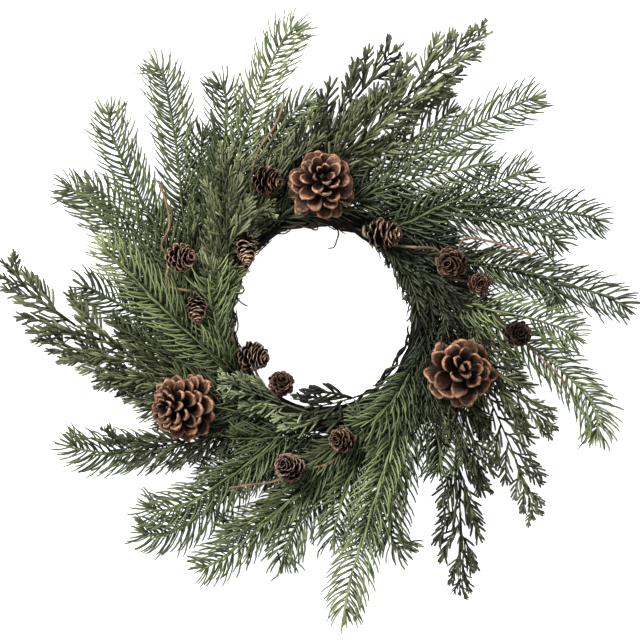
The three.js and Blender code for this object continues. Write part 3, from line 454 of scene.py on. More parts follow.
def tube(piece, points, radii, sides, tone, finish=0, random=None, knobs=0.0):
    """A closed round stem along a run of points, with knobs as a share of its radius."""
    count = len(points)
    ways, ups = carried(points)
    angles = 2 * np.pi * np.arange(sides) / sides
    radii = np.broadcast_to(radii, count).astype(float)
    swell = np.ones((count, sides)) if random is None else 1 + knobs * random.uniform(-1, 1, (count, sides))
    arms = leaning(np.cross(ways, ups)[:, None], ups[:, None], angles[None])
    rings = points[:, None] + arms * (radii[:, None] * swell)[..., None]
    ends = np.stack([points[0] - ways[0] * radii[0] * 0.4, points[-1] + ways[-1] * radii[-1] * 1.2])
    size = count * sides
    threes = np.vstack([ring_end(0, sides, size)[:, [1, 0, 2]], ring_end(size - sides, sides, size + 1)])
    along = np.concatenate([np.repeat(np.linspace(0, 1, count), sides), [0, 1]])
    piece.add(np.vstack([rings.reshape(-1, 3), ends]), tone, along, ring_quads(count, sides), threes, finish)


def blades(piece, outline, roots, ways, ups, outs, lengths, leans, bends, widths, thicks, rolls, tones):
    """Slim leaves that lean out of their stems and bend back towards the stems' way."""
    count, stations = len(roots), len(outline)
    if not count:
        return
    shares = np.array([share for share, _ in outline] + [1.0])
    broad = np.array([half for _, half in outline])
    ways, outs = ways[:, None], outs[:, None]
    mids = (shares[1:] + shares[:-1]) / 2
    angles = leans[:, None] - bends[:, None] * mids[None] ** HOOK
    legs = leaning(ways, outs, angles) * (np.diff(shares) * lengths[:, None])[..., None]
    spine = roots[:, None] + np.concatenate([np.zeros((count, 1, 3)), np.cumsum(legs, axis=1)], axis=1)
    turns = leans[:, None] - bends[:, None] * shares[None, :-1] ** HOOK
    heads = leaning(ways, outs, turns)
    across = unit(np.cross(np.broadcast_to(ups[:, None], heads.shape), heads))
    across = turned(across, heads, np.broadcast_to(rolls[:, None], turns.shape))
    faces = np.cross(heads, across)
    half = (broad[None] * widths[:, None] / 2)[..., None]
    deep = (broad[None] * thicks[:, None] / 2)[..., None]
    middle = spine[:, :-1]
    rings = np.stack([middle + across * half, middle + faces * deep,
                      middle - across * half, middle - faces * deep], axis=2)
    points = np.concatenate([rings.reshape(count, -1, 3), spine[:, -1:]], axis=1)
    quads = np.vstack([ring_quads(stations, 4), [[3, 2, 1, 0]]])
    threes = ring_end(4 * (stations - 1), 4, 4 * stations)
    size = 4 * stations + 1
    shift = (np.arange(count) * size)[:, None, None]
    along = np.tile(np.concatenate([np.repeat(shares[:-1], 4), [1.0]]), count)
    piece.add(points.reshape(-1, 3), np.repeat(tones, size), along,
              (quads[None] + shift).reshape(-1, 4), (threes[None] + shift).reshape(-1, 3))


def seat(clock, flank, sink=0.0):
    """A place on the ring's surface, or sunk below it, and the way out of it."""
    clock, flank = math.radians(clock), math.radians(flank)
    out = np.array([math.sin(clock), math.cos(clock), 0.0])
    normal = out * math.cos(flank) + UP * math.sin(flank)
    return out * RING_REACH + UP * RING_HEIGHT + normal * (RING_HALF - sink), normal


def head_run(start, out, bow, lift, tip):
    """Points along a head: out of its seat, through a middle that stands off by bow, to its tip."""
    tip = np.array(tip, float)
    run = (tip - start) * [1, 1, 0]
    left = unit(np.cross(UP, run))
    middle = (start + tip) / 2 + left * bow
    middle[2] = lift
    leave = start + out * np.linalg.norm(run) * LEAVE_SHARE
    near = (8 * middle - start - tip - 3 * leave) / 3
    t = np.linspace(0, 1, 120)[:, None]
    curve = ((1 - t) ** 3 * start + 3 * (1 - t) ** 2 * t * leave + 3 * (1 - t) * t ** 2 * near
             + t ** 3 * tip)
    return even(curve, STEM_GRAIN)


def spray_runs(root, heads):
    """Points along each head of a spray, the second forking out of the first."""
    runs = []
    start, way = seat(*root, ROOT_SINK)
    for head in heads:
        if runs:
            fork = int((FORK_AT + ROOT_SINK) / STEM_GRAIN)
            start, way = runs[0][fork], unit(runs[0][fork + 1] - runs[0][fork])
        runs.append(head_run(start, way, *head))
    return runs


class Stem:
    """A stem's run of points, which gives place, way, up and right at any distance along it."""

    def __init__(self, points):
        self.points = points
        self.ways, self.ups = carried(points)
        self.run = lengths_along(points)
        self.length = self.run[-1]

    def at(self, places):
        ways = unit(read_at(places, self.run, self.ways))
        ups = read_at(places, self.run, self.ups)
        ups = unit(ups - ways * np.sum(ups * ways, axis=1, keepdims=True))
        return read_at(places, self.run, self.points), ways, ups, np.cross(ways, ups)


def kept_clear(roots, tips, inner):
    """Which leaves stay out of the cones, and farther than inner from the middle of the ring."""
    keep = tips[:, 2] > LOWEST
    for share in (0.35, 0.7, 1.0):
        places = roots + (tips - roots) * share
        for at, reach, below in CONE_ROOM:
            apart = np.hypot(places[:, 0] - at[0], places[:, 1] - at[1])
            keep &= ~((apart < reach) & (places[:, 2] > at[2] - below))
        keep &= np.hypot(places[:, 0], places[:, 1]) > inner
    return keep


def deep_shade(roots):
    """Painted shade: how much darker the leaves are that stand low and close to the ring, deep in the wreath.
    """
    inner = np.clip((DEEP_REACH - np.hypot(roots[:, 0], roots[:, 1])) / 60, 0, 1)
    return DEEP_SHADE_TONE * inner * np.clip((DEEP_HEIGHT - roots[:, 2]) / 28, 0, 1)


def raised(roots, ways, outs, leans, lengths):
    """Where leaves end, with those that would touch the surface below turned upwards."""
    tips = roots + leaning(ways, outs, leans) * lengths[:, None]
    low = (tips[:, 2] < LOWEST) & (outs[:, 2] < 0)
    outs = np.where(low[:, None], outs * [1, 1, -1], outs)
    return roots + leaning(ways, outs, leans) * lengths[:, None], outs


def set_leaves(piece, outline, size, inner, random, roots, ways, ups, outs, lengths, leans, bends,
               widths, tones):
    """Leaves that stand out of a stem, without those that would reach into a cone or the hole."""
    tips, outs = raised(roots, ways, outs, leans, lengths)
    keep = kept_clear(roots, tips, inner)
    tones = np.clip(0.5 + (tones + size.tone + deep_shade(roots)) / 2, 0, 1)
    parts = (roots, ways, ups, outs, lengths, leans, bends, widths, widths * size.thick,
             random.normal(0, 0.3, len(roots)), tones)
    blades(piece, outline, *(part[keep] for part in parts))


def needle_places(stem, size, random):
    """Where the needles of each row and of the tuft stand, their roll, lean, length and tone."""
    grown = stem.length - TUFT_ROOM
    rows = []
    for row, (roll, lean, length, tone) in enumerate(NEEDLE_ROWS):
        first = size.bare * (0.6 + 0.5 * random.uniform())
        places = np.arange(first + size.step * ((row * 0.37) % 1), grown, size.step)
        places = places + random.uniform(-0.12, 0.12, len(places)) * size.step
        closing = np.clip(1 - (stem.length - places) / CLOSING_RUN, 0, 1)
        growth = (1 - 0.26 * closing) * (0.86 + 0.14 * np.clip(places / 45, 0, 1))
        rows.append((places, np.full(len(places), roll), lean - 7 * closing, length * size.length * growth,
                     np.full(len(places), tone)))
    turns = np.arange(size.tuft)
    rows.append((grown - 2.5 + (turns % 3) * 1.4, np.degrees(turns * GOLDEN), 12 + 38 * (turns / size.tuft),
                 np.full(size.tuft, 0.56 * size.length), 0.1 - 0.25 * (turns % 2)))
    return [np.concatenate(column) for column in zip(*rows)]


def grow_needles(piece, stem, size, random, inner=0.0, outline=NEEDLE_OUTLINE):
    """Needles in rows all round a stem, and a tuft at its tip."""
    places, rolls, leans, lengths, tones = needle_places(stem, size, random)
    count = len(places)
    rolls = np.radians(rolls + random.normal(0, 6, count))
    leans = np.radians(leans + random.normal(0, 3, count))
    bends = np.radians(random.normal(NEEDLE_BEND, 4, count))
    bends = bends * np.clip(leans / math.radians(52), 0.1, 1) ** 2
    lengths = lengths * random.uniform(0.92, 1.07, count)
    roots, ways, ups, rights = stem.at(places)
    tones = tones + random.normal(0, 0.14, count)
    widths = size.width * random.uniform(0.86, 1.1, count)
    set_leaves(piece, outline, size, inner, random, roots, ways, ups, leaning(rights, ups, rolls),
               lengths, leans, bends, widths, tones)
    end = max(int((stem.length - TUFT_ROOM) / STEM_GRAIN), 2)
    grow_bark(piece, stem.points[:end + 1], size, 0.4 + size.tone / 2, 1)


def grow_bark(piece, points, size, tone, finish=0):
    """A spray's stem, which thins to half its thickness."""
    tube(piece, points, np.linspace(size.stem, 0.5 * size.stem, len(points)), 6, tone, finish)


def side_twig(root, way, out, length, lean):
    """Points along a side twig that leaves its stem and swings forward."""
    share = np.linspace(0, 1, 6)[:, None]
    forward = length * (math.cos(lean) * share + 0.2 * share ** 2)
    aside = length * math.sin(lean) * (share - 0.2 * share ** 2)
    return root + way * forward + out * aside


def fan_row(knots, out, ahead, side, growth, rise, step, size, random):
    """The two rows of leaflets of a fan's twig, and the three that splay at its end."""
    twig = Stem(knots)
    spots = np.append(np.arange(0.14 * twig.length, twig.length - 1.5, step), [twig.length - 0.5] * 3)
    base, way, _, _ = twig.at(spots)
    lay = unit(np.cross(out, ahead) * side)
    lay = unit(lay - way * np.sum(lay * way, axis=1, keepdims=True))
    count = len(spots)
    nth = np.arange(count)
    last = nth >= count - 3
    hand = np.where(nth % 2, 1.0, -1.0)
    tilt = np.where(nth % 4 == 2, 1.0, 0.1) + random.normal(0, 0.25, count)
    outs = unit(np.cross(way, lay) * (hand * np.cos(tilt))[:, None] + lay * np.sin(tilt)[:, None])
    spread = np.where(last, random.normal(0, 5, count) + 21 * (nth - count + 2),
                      random.normal(size.lean, 6, count))
    outs[last] = np.cross(way, lay)[last]
    grown = size.length * (0.18 + 0.82 * growth) * (1.05 - 0.42 * spots / twig.length)
    # Each fan's tone differs at random, and the fans that rise steeply get a painted highlight
    fan = random.normal(0, 0.25) + (0.2 if rise > 0.7 else 0)
    return (base, way, lay, outs, grown * random.uniform(0.8, 1.14, count), np.radians(spread),
            fan + random.choice([-0.35, -0.15, 0.1, 0.4], count),
            size.width * (0.5 + 0.5 * min(growth, 1)) * random.uniform(0.88, 1.1, count))


def fan_places(stem, size, random):
    """How far from the tip each fan leaves its stem. They crowd together towards the tip."""
    rests = [NEAREST_FAN]
    while rests[-1] < stem.length - size.bare:
        step = size.step * np.interp(rests[-1], [0, 60], [0.66, 1.0])
        rests.append(rests[-1] + step * random.uniform(0.8, 1.2))
    return np.array(rests[:-1][::-1] + [TIP_FAN])


def grow_fans(piece, stem, size, random, inner=0.0):
    """Flat fans to the left and the right of a stem, each a short twig with two rows of leaflets."""
    # The fans shrink towards the spray's tip, and the last one is the tip itself
    rests = fan_places(stem, size, random)
    roots, ways, ups, rights = stem.at(stem.length - rests)
    growths = np.interp(rests, *FAN_GROWTH)
    rows = []
    for i, growth in enumerate(growths):
        side = 1 if i % 2 else -1
        rise = math.radians(random.normal(4, 14) + (54 if i % 3 == 2 else 0))
        out = rights[i] * side * math.cos(rise) + ups[i] * math.sin(rise)
        length = size.twig * growth * random.uniform(0.84, 1.12)
        knots = side_twig(roots[i], ways[i], out, length, math.radians(random.normal(41, 6)))
        step = size.leaf_step * (0.6 + 0.4 * growth)
        if i == len(growths) - 1:
            knots = stem.at(stem.length - np.linspace(rests[i], 0, 6))[0]
            out, step = rights[i], size.tip_step
        elif kept_clear(knots[:1], knots[-1:], inner)[0]:
            tube(piece, knots, np.linspace(0.5, 0.34, 6) * size.width, 4, 0.3 + size.tone / 2)
        else:
            continue
        rows.append(fan_row(knots, out, ways[i], side, growth, rise, step, size, random))
    *frames, lengths, leans, tones, widths = (np.concatenate(column) for column in zip(*rows))
    bends = np.radians(random.normal(8, 9, len(lengths)))
    set_leaves(piece, LEAFLET_OUTLINE, size, inner, random, *frames, lengths, leans, bends, widths, tones)
    grow_bark(piece, stem.points, size, 0.25)


def rim_walk(rows, columns):
    """The points round the edge of a grid, in order."""
    return np.concatenate([np.arange(columns), columns * np.arange(1, rows) + columns - 1,
                           (rows - 1) * columns + np.arange(columns - 2, -1, -1),
                           columns * np.arange(rows - 2, 0, -1)])


def sheet_quads(rows, columns, rim):
    """The quads of a thick sheet: its face, its underside and two rows round its edge."""
    i, k = np.meshgrid(np.arange(rows - 1), np.arange(columns - 1), indexing="ij")
    near = i * columns + k
    face = np.stack([near, near + 1, near + 1 + columns, near + columns], axis=-1).reshape(-1, 4)
    size = rows * columns
    after = np.roll(rim, -1)
    loop = 2 * size + np.arange(len(rim))
    ring = np.roll(loop, -1)
    return np.vstack([face, face[:, ::-1] + size, np.stack([rim, loop, ring, after], axis=1),
                      np.stack([loop, rim + size, after + size, ring], axis=1)])


def rising(values, first, run):
    """0 up to a place, and up to 1 over a run after it."""
    return np.clip((values - first) / run, 0, 1)


def woody_scale(shape):
    """A cone scale with a narrow neck, a cupped face, and a thick rounded rim round its blade."""
    shoulder, columns, ratio = shape["shoulder"], shape["columns"], shape["ratio"]
    # How far up the scale and how far aside each point is: it widens to its shoulder and ends round
    sweep = np.radians(np.linspace(0, 74, shape["rows"] - 3))
    far = np.concatenate([np.linspace(0, shoulder, 4)[:-1],
                          shoulder + (1 - shoulder) * np.sin(sweep) / math.sin(sweep[-1])])[:, None]
    half = np.concatenate([shape["neck"] + (1 - shape["neck"]) * (np.linspace(0, 1, 4)[:-1] ** 0.9),
                           np.cos(sweep) ** 0.55])[:, None] / 2
    aside = np.linspace(-1, 1, columns)[None, :]
    across, along = half * aside, far + 0.05 * (1 - np.abs(aside)) * rising(far, 0.75, 0.25)
    cupped = shape["cup"] * np.sin(np.pi * np.clip(far, 0, 1) ** 1.3) * np.abs(aside) ** 2.2
    upper = cupped + shape["curl"] * np.clip(far - 0.4, 0, 1) ** 2
    thick = shape["thin"] + (shape["thick"] - shape["thin"]) * rising(far, 0.3, 0.5)
    boss = shape["boss"] * np.exp(-((far - 0.82) / 0.1) ** 2 - (aside / 0.35) ** 2)
    lower = upper - thick * (1 - 0.3 * aside ** 2) - boss
    grid, below = (np.stack([along.ravel(), across.ravel(), side.ravel()], axis=1) for side in (upper, lower))
    # The rim bulges out between the two sides
    rim = rim_walk(len(far), columns)
    flat = np.stack([grid[rim, 1] * ratio, grid[rim, 0]], axis=1)
    ahead = np.roll(flat, -1, axis=0) - np.roll(flat, 1, axis=0)
    away = unit(np.stack([ahead[:, 1], -ahead[:, 0]], axis=1))
    depth = (upper - lower).ravel()[rim]
    middle = (grid[rim] + below[rim]) / 2
    middle[:, 0] += away[:, 1] * depth * 0.3
    middle[:, 1] += away[:, 0] * depth * 0.3 / ratio
    # The rim is worn pale, and the pad behind it a little
    edge_gap = np.minimum((1 - np.abs(aside)) * half * ratio, (1 - far) + 0 * aside)
    pad = rising(far, 0.7, 0.24) ** 1.5
    worn = shape["pad"] * pad + (1 - shape["pad"]) * np.exp(-(edge_gap / shape["rim"]) ** 1.5)
    worn = worn * rising(far, 0.4, 0.35)
    tones = np.concatenate([worn.ravel(), np.clip(worn + 0.25 + 0.25 * along, 0, 1).ravel(),
                            np.clip((grid[rim, 0] - 0.3) / 0.4, 0.2, 1)])
    return np.vstack([grid, below, middle]), tones, sheet_quads(len(far), columns, rim)


def cone_scales(piece, base, axis, count, length, width, shape, random):
    """Scales set round a cone by the golden angle, opening from lean to lean along it."""
    side = unit(np.cross(axis, [0.3, 1.0, 0.1]))
    other = np.cross(axis, side)
    points, tones, quads = woody_scale(dict(shape, ratio=width / length))
    stray = shape["stray"]
    for n in range(count):
        share = n / (count - 1)
        turn = n * GOLDEN + random.normal(0, stray * 0.7)
        out = side * math.cos(turn) + other * math.sin(turn)
        lean = math.radians(np.interp(share, *shape["leans"])) + random.normal(0, stray)
        size = np.interp(share, *shape["spread"]) * random.uniform(0.93, 1.06)
        wide = width * size ** shape["narrow"] * random.uniform(1 - stray, 1 + stray)
        way = axis * math.cos(lean) + out * math.sin(lean)
        face = axis * math.sin(lean) - out * math.cos(lean)
        flat = np.cross(way, face)
        twist = random.normal(0, stray * 1.7)
        flat, face = (flat * math.cos(twist) + face * math.sin(twist),
                      face * math.cos(twist) - flat * math.sin(twist))
        root = base + axis * np.interp(share, *shape["climb"]) + out * shape["core"] * (1 - 0.7 * share)
        # Each scale warps a little its own way as it dries, and its edge is uneven
        warp = np.clip(points[:, 0] - 0.4, 0, 1)
        edge = 1 + 0.35 * stray * warp * np.sin(points[:, 1] * random.uniform(3, 7) + random.uniform(0, 6))
        bow, skew = random.normal(0, stray * 1.5, 2)
        lift = points[:, 2] + bow * warp ** 2 + skew * warp * points[:, 1]
        placed = (root + (points[:, 0] * edge)[:, None] * (length * size) * way
                  + points[:, 1:2] * wide * flat + (lift * length * size ** 0.6)[:, None] * face)
        shade = tones * random.uniform(0.55, 1.05) * shape["wear"]
        shade = shade + max(random.normal(-0.03, shape["pale"]), -0.1)
        piece.add(placed, shade, np.clip(points[:, 0], 0, 1), quads, [],
                  acrosses=points[:, 1] * FIBRES + n * FIBRE_SHIFT)


def cone_foot(at, axis, depth):
    """A place this far down a cone's axis from its middle, and the axis."""
    axis = unit(np.array(axis, float))
    return np.array(at, float) - axis * depth, axis


def cone_core(piece, base, axis, length, radius):
    """The woody middle that carries a cone's scales."""
    shares = np.linspace(0, 1, 9)
    bulge = np.interp(shares, [0, 0.3, 0.75, 1], [0.85, 1.0, 0.7, 0.25])
    tube(piece, base + axis * (shares * length)[:, None], radius * bulge, 8, 0.05)


def near_clock(turns, clock, narrow):
    """How near places round the ring are to a clock angle: 1 at it, falling to 0 on both sides."""
    return np.exp(narrow * (np.cos(turns - math.radians(clock)) - 1))


def swing(random, turns, far, often):
    """A wave round the ring that starts anywhere."""
    return far * np.sin(turns * often + random.uniform(0, 6))


def round_ring(reach, turns, height):
    """Points round the ring, from its reach and height at each turn."""
    return np.stack([reach * np.sin(turns), reach * np.cos(turns), height], axis=1)


def wound_vine(random, number):
    """Points and thickness of a vine of the ring: a core vine first, then thin ones wound round."""
    thin = number >= CORE_VINES
    first = random.uniform(0, 360)
    turns = np.radians(np.linspace(first, first + (random.uniform(*THIN_RUNS) if thin else 352), 110))
    winds = random.choice([2, 3, 3, 4]) if thin else 1
    phase = 2 * math.pi * number / CORE_VINES + winds * turns * (1 if thin else -1)
    phase = phase + swing(random, turns, 0.5, 3)
    phase = phase + swing(random, turns, 0.25, 7)
    thickness = random.uniform(*THIN_VINES) if thin else CORE_THICK
    away = RING_HALF - 2.4 - random.uniform(0, 2.2) if thin else CORE_REACH
    away = away + swing(random, turns, 0.9, 5)
    top = near_clock(turns, THIN_CLOCK, 6)
    away = away * (1 - 0.25 * top)
    height = np.maximum(RING_HEIGHT + away * np.sin(phase), 1.2 * thickness + 0.1)
    return round_ring(RING_REACH + 5 * top + away * np.cos(phase), turns, height), thickness


def loose_vine(random, first, outward, usual):
    """Points and thickness of a thin vine that strays along the ring's inner side or over its face."""
    turns = np.radians(first + np.linspace(0, random.uniform(18, 34), 26))
    waves = swing(random, turns, random.uniform(0.8, 3.0), random.uniform(14, 30))
    reach = RING_REACH - RING_HALF + 2.0 + outward + 7 * near_clock(turns, THIN_CLOCK, 6)
    reach = reach - 5 * near_clock(turns, LOW_CLOCK, 8) + waves
    height = RING_HEIGHT + outward + random.uniform(-3, 9) + swing(random, turns, 2.5, 17)
    return round_ring(reach, turns, height), usual + random.uniform(-0.2, 0.2)


def vine_runs(random, sizes):
    """Points and thickness of each vine in the ring."""
    runs = [wound_vine(random, number) for number in range(CORE_VINES + sizes.vines)]
    for first, last, count, outward, usual in LOOSE_VINES:
        for clock in np.linspace(first, last, count or sizes.loose):
            runs.append(loose_vine(random, clock, outward, usual))
    return runs


def add_node(tree, kind, inputs=None, stops=None, **settings):
    """Adds a node with its settings, ramp stops, and a value or a link for each input."""
    made = tree.nodes.new(kind)
    for name, value in settings.items():
        setattr(made, name, value)
    for name, value in (inputs or {}).items():
        if isinstance(value, bpy.types.NodeSocket):
            tree.links.new(value, made.inputs[name])
        else:
            made.inputs[name].default_value = value
    if stops:
        elements = made.color_ramp.elements
        while len(elements) < len(stops):
            elements.new(0.5)
        for element, (place, colour) in zip(elements, stops):
            element.position, element.color = place, colour
    return made


def faded(colour, share):
    """A linear colour with a share of its grey mixed in."""
    grey = sum(colour[:3]) / 3
    return [channel + (grey - channel) * share for channel in colour[:3]] + [1.0]


def shaded(colour, strength, warmth=0.0):
    """A linear colour made darker or lighter, and warmer or cooler."""
    tints = (1 + warmth, 1, 1 - warmth)
    return [min(channel * strength * tint, 1.0) for channel, tint in zip(colour, tints)] + [1.0]


def begin(name):
    """A new material and its node tree, emptied."""
    material = bpy.data.materials.new(name)
    material.use_nodes = True
    material.node_tree.nodes.clear()
    return material, material.node_tree


def noise(tree, grain, detail=2.0, roughness=0.5):
    """Noise over a surface, with spots of a size in millimetres."""
    place = add_node(tree, "ShaderNodeNewGeometry").outputs["Position"]
    return add_node(tree, "ShaderNodeTexNoise", {
        "Vector": place, "Scale": 1 / (grain * MM), "Detail": detail, "Roughness": roughness}).outputs[0]


def attribute(tree, name):
    return add_node(tree, "ShaderNodeAttribute", attribute_name=name).outputs["Fac"]


def maths(tree, operation, *terms):
    return add_node(tree, "ShaderNodeMath", dict(enumerate(terms)), operation=operation).outputs[0]


def ramp(tree, value, *stops):
    return add_node(tree, "ShaderNodeValToRGB", {0: value}, stops).outputs[0]


def multiplied(tree, one, other):
    """One colour multiplied by another: inputs 6 and 7 of a mix node take colours."""
    return add_node(tree, "ShaderNodeMix", {0: 1.0, 6: one, 7: other}, data_type="RGBA",
                    blend_type="MULTIPLY").outputs[2]


def surface(tree, height, strength, depth, sockets):
    """The material's surface, with a bump of a depth in millimetres."""
    bump = add_node(tree, "ShaderNodeBump", {"Height": height, "Strength": strength, "Distance": depth * MM})
    shader = add_node(tree, "ShaderNodeBsdfPrincipled", {"Normal": bump.outputs[0], **sockets})
    add_node(tree, "ShaderNodeOutputMaterial", {"Surface": shader.outputs[0]})


def fresh_needle(name, colour, warmth):
    """Living conifer leaf: waxy, so it has a soft sheen along it, darker at the root as painted shade and
    paler on top as a painted highlight.
    """
    material, tree = begin(name)
    mottle = noise(tree, 2.2, 1.0)
    drift = maths(tree, "MULTIPLY_ADD", noise(tree, 28), 0.5, -0.25)
    tone = ramp(tree, maths(tree, "ADD", attribute(tree, "tone"), drift),
                (0.08, shaded(colour, 0.26, -0.05)), (0.38, shaded(colour, 0.7)),
                (0.6, shaded(colour, 1.2, warmth / 2)), (0.9, shaded(colour, 1.95, warmth)))
    # Painted shade darkens each needle towards its root, among the others at the stem; its tip is a little
    # darker and browner
    depth = ramp(tree, attribute(tree, "along"), (0.0, [0.42, 0.40, 0.34, 1]),
                 (0.3, [0.86, 0.86, 0.84, 1]), (0.8, [1, 1, 1, 1]), (1.0, [0.78, 0.74, 0.64, 1]))
    surface(tree, mottle, 0.25, 0.3, {
        "Base Color": multiplied(tree, tone, depth), "Specular IOR Level": 0.32, "IOR": 1.42,
        "Roughness": maths(tree, "MULTIPLY_ADD", mottle, 0.2, 0.34)})
    return material


def rough_bark(name, colour, grain, depth):
    """Dry bark: broken by fine ridges that run round and along the stem, dull all over."""
    material, tree = begin(name)
    ridges = noise(tree, grain, 4.0, 0.65)
    hue = ramp(tree, maths(tree, "MULTIPLY", ridges, noise(tree, 14)), (0.12, shaded(colour, 0.4)),
               (0.26, shaded(colour, 1.0)), (0.42, faded(shaded(colour, 1.55), 0.12)))
    surface(tree, ridges, 0.7, depth, {"Base Color": hue, "Roughness": 0.85, "Specular IOR Level": 0.18})
    return material


def dry_cone_wood(name, colour, rim, patch):
    """Dried cone scale: near black at the root as painted shade between the scales, brown fibrous faces and a
    pale worn rim.
    """
    material, tree = begin(name)
    along = attribute(tree, "along")
    grain = add_node(tree, "ShaderNodeCombineXYZ", {"X": attribute(tree, "across"), "Y": along})
    fibre = add_node(tree, "ShaderNodeTexNoise", {
        "Vector": grain.outputs[0], "Scale": 1.0, "Detail": 3.0, "Roughness": 0.65}).outputs[0]
    spread = maths(tree, "MULTIPLY_ADD", fibre, 0.9, -0.45)
    face = ramp(tree, maths(tree, "ADD", attribute(tree, "tone"), spread), (0.0, shaded(colour, 0.45)),
                (0.32, shaded(colour, 0.95)), (0.62, shaded(rim, 0.75)), (0.95, shaded(rim, 1.3)))
    # Painted shade: each scale is near black at its root, deep between the others, and reaches its full
    # colour near its tip
    root_shade = ramp(tree, along, (0.42, [0.01, 0.008, 0.006, 1]), (0.72, [0.22, 0.18, 0.15, 1]),
               (0.94, [1, 1, 1, 1]))
    worn = ramp(tree, noise(tree, patch, 4.0, 0.7), (0.38, [0.42, 0.4, 0.38, 1]),
                (0.5, [0.9, 0.9, 0.9, 1]), (0.62, [1.6, 1.6, 1.6, 1]))
    surface(tree, fibre, 0.6, 0.5, {
        "Base Color": multiplied(tree, multiplied(tree, face, root_shade), worn), "Roughness": 0.62,
        "Specular IOR Level": 0.14})
    return material


def studio_paper(name, colour, glow):
    """Seamless white paper: matt, and lifted so far that the shadows on it stay faint."""
    material, tree = begin(name)
    surface(tree, noise(tree, 3), 0.02, 0.2, {
        "Base Color": colour, "Roughness": 0.95, "Specular IOR Level": 0.1,
        "Emission Color": (1, 1, 1, 1), "Emission Strength": glow})
    return material


def settle(piece, name, node=None, materials=()):
    """Makes a piece's object with its materials, rides it on the wreath's body and hides the solid that it
    replaces.
    """
    made = piece.object(name, materials)
    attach(made, "root")
    if node:
        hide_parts(node)


def length_property(name, description, default):
    return bpy.props.FloatProperty(name=name, description=description, default=default * MM, min=0.0,
                                   precision=4, subtype="DISTANCE", unit="LENGTH")


def count_property(name, description, default, least, most):
    return bpy.props.IntProperty(name=name, description=description, default=default, min=least, max=most)


def number_property(name, description, default, **settings):
    return bpy.props.FloatProperty(name=name, description=description, default=default, min=0, **settings)


def colour_property(name, place, hex_colour):
    return bpy.props.FloatVectorProperty(name=name, description=f"Colour of {place}", size=3, min=0,
                                         max=1, subtype="COLOR", default=linear(hex_colour)[:3])


class WreathNeedles(bpy.types.PropertyGroup):
    length: length_property("Length", "Length of a fir needle midway along its spray", 33.0)
    width: length_property("Width", "Width of a fir needle", 1.75)
    step: length_property("Spacing", "Distance between the needles of one row", 7.0)
    tuft: count_property("Tip needles", "Needles in the tuft at a spray's tip", 6, 3, 30)


class WreathLeaflets(bpy.types.PropertyGroup):
    length: length_property("Length", "Length of a cedar leaflet midway along its spray", 16)
    width: length_property("Width", "Width of a cedar leaflet", 2.15)
    twig: length_property("Fan", "Length of the twig in a fan of leaflets", 25)
    step: length_property("Fan spacing", "Distance between the fans, left and right in turn", 7.6)
    leaf_step: length_property("Spacing", "Distance between leaflets, left and right in turn", 2.5)


class WreathWood(bpy.types.PropertyGroup):
    vines: count_property("Thin vines", "Thin vines wound round the ring", 26, 4, 40)
    loose: count_property("Loose vines", "Short stray vines on the inner side", 20, 2, 40)
    twig: length_property("Twig thickness", "Half the thickness of a bare twig", 1.4)
    larch: length_property("Larch cone length", "Length of a small cone", LARCH_LENGTH)
    larch_scales: count_property("Larch scales", "Scales on a small cone", 58, 12, 90)


class WreathColours(bpy.types.PropertyGroup):
    light_fir: colour_property("Light fir", "the lightest fir sprays", "#64704c")
    mid_fir: colour_property("Mid fir", "the middle fir sprays", "#515b3d")
    dark_fir: colour_property("Dark fir", "the darkest fir sprays", "#444d33")
    olive_cedar: colour_property("Olive cedar", "the olive cedar sprays", "#53563c")
    dark_cedar: colour_property("Dark cedar", "the dark cedar sprays", "#3c402b")
    sage_cedar: colour_property("Sage cedar", "the grey green cedar sprays", "#686e50")
    pine_cone: colour_property("Pine cone", "the large cones' scales", "#5f4232")
    pine_rim: colour_property("Pine cone rim", "the large cones' rims", "#7d5d49")
    larch_brown: colour_property("Brown larch", "the brown small cones", "#503d31")
    larch_tan: colour_property("Tan larch", "the tan small cones", "#5a4838")
    larch_dark: colour_property("Dark larch", "the darkest small cones", "#392c24")
    bark: colour_property("Spray bark", "the sprays' stems", "#34351f")
    twig: colour_property("Twig", "the bare twigs", "#6c5944")
    vine: colour_property("Vine", "the ring's vines", "#110e0b")


class WreathStudio(bpy.types.PropertyGroup):
    floor: colour_property("Floor", "the floor", "#9a9a9a")
    glow: number_property("Floor glow", "How far the floor's shadows are lifted", 1.0, max=2)
    key: number_property("Key light", "Power of the light over the wreath", 82.0, unit="POWER")
    fill: number_property("Fill", "Strength of the light from all round", 0.38)


def colour_of(context, slot):
    return list(getattr(context.scene.wreath_colours, slot)) + [1.0]


def leaf_finish(context, slot):
    """The leaf and stem materials of a slot's sprays, made at their first use."""
    shade, kind = slot.split("_")
    name, warmth = {"fir": ("waxy fir needle", 0.06), "cedar": ("cedar leaflet", -0.03)}[kind]
    name = f"{name} {shade}"
    made = bpy.data.materials
    leaf = made.get(name) or fresh_needle(name, colour_of(context, slot), warmth)
    # Young bark: thin, so it is smoother than the vines' bark
    name = "young spray bark"
    return leaf, made.get(name) or rough_bark(name, colour_of(context, "bark"), 1.8, 0.4)


def needle_size(context, share=1.0, tone=0.0, apart=1.0):
    """A spray's needles: thick as a share of their width, and how much of the stem's foot is bare."""
    sizes = context.scene.wreath_needles
    return SimpleNamespace(length=sizes.length / MM * share, width=sizes.width / MM, tuft=sizes.tuft,
                           step=sizes.step / MM * apart, thick=0.62, bare=14.0, stem=1.1, tone=tone)


def leaflet_size(context, share=1.0, tone=0.0):
    """A spray's leaflets, likewise, with their lean and how far apart they are on its tip."""
    sizes = context.scene.wreath_leaflets
    lengths = {name: getattr(sizes, name) / MM * share for name in WreathLeaflets.__annotations__}
    return SimpleNamespace(**lengths, tip_step=5.6, thick=0.75, lean=29, bare=10.0, stem=1.2, tone=tone)


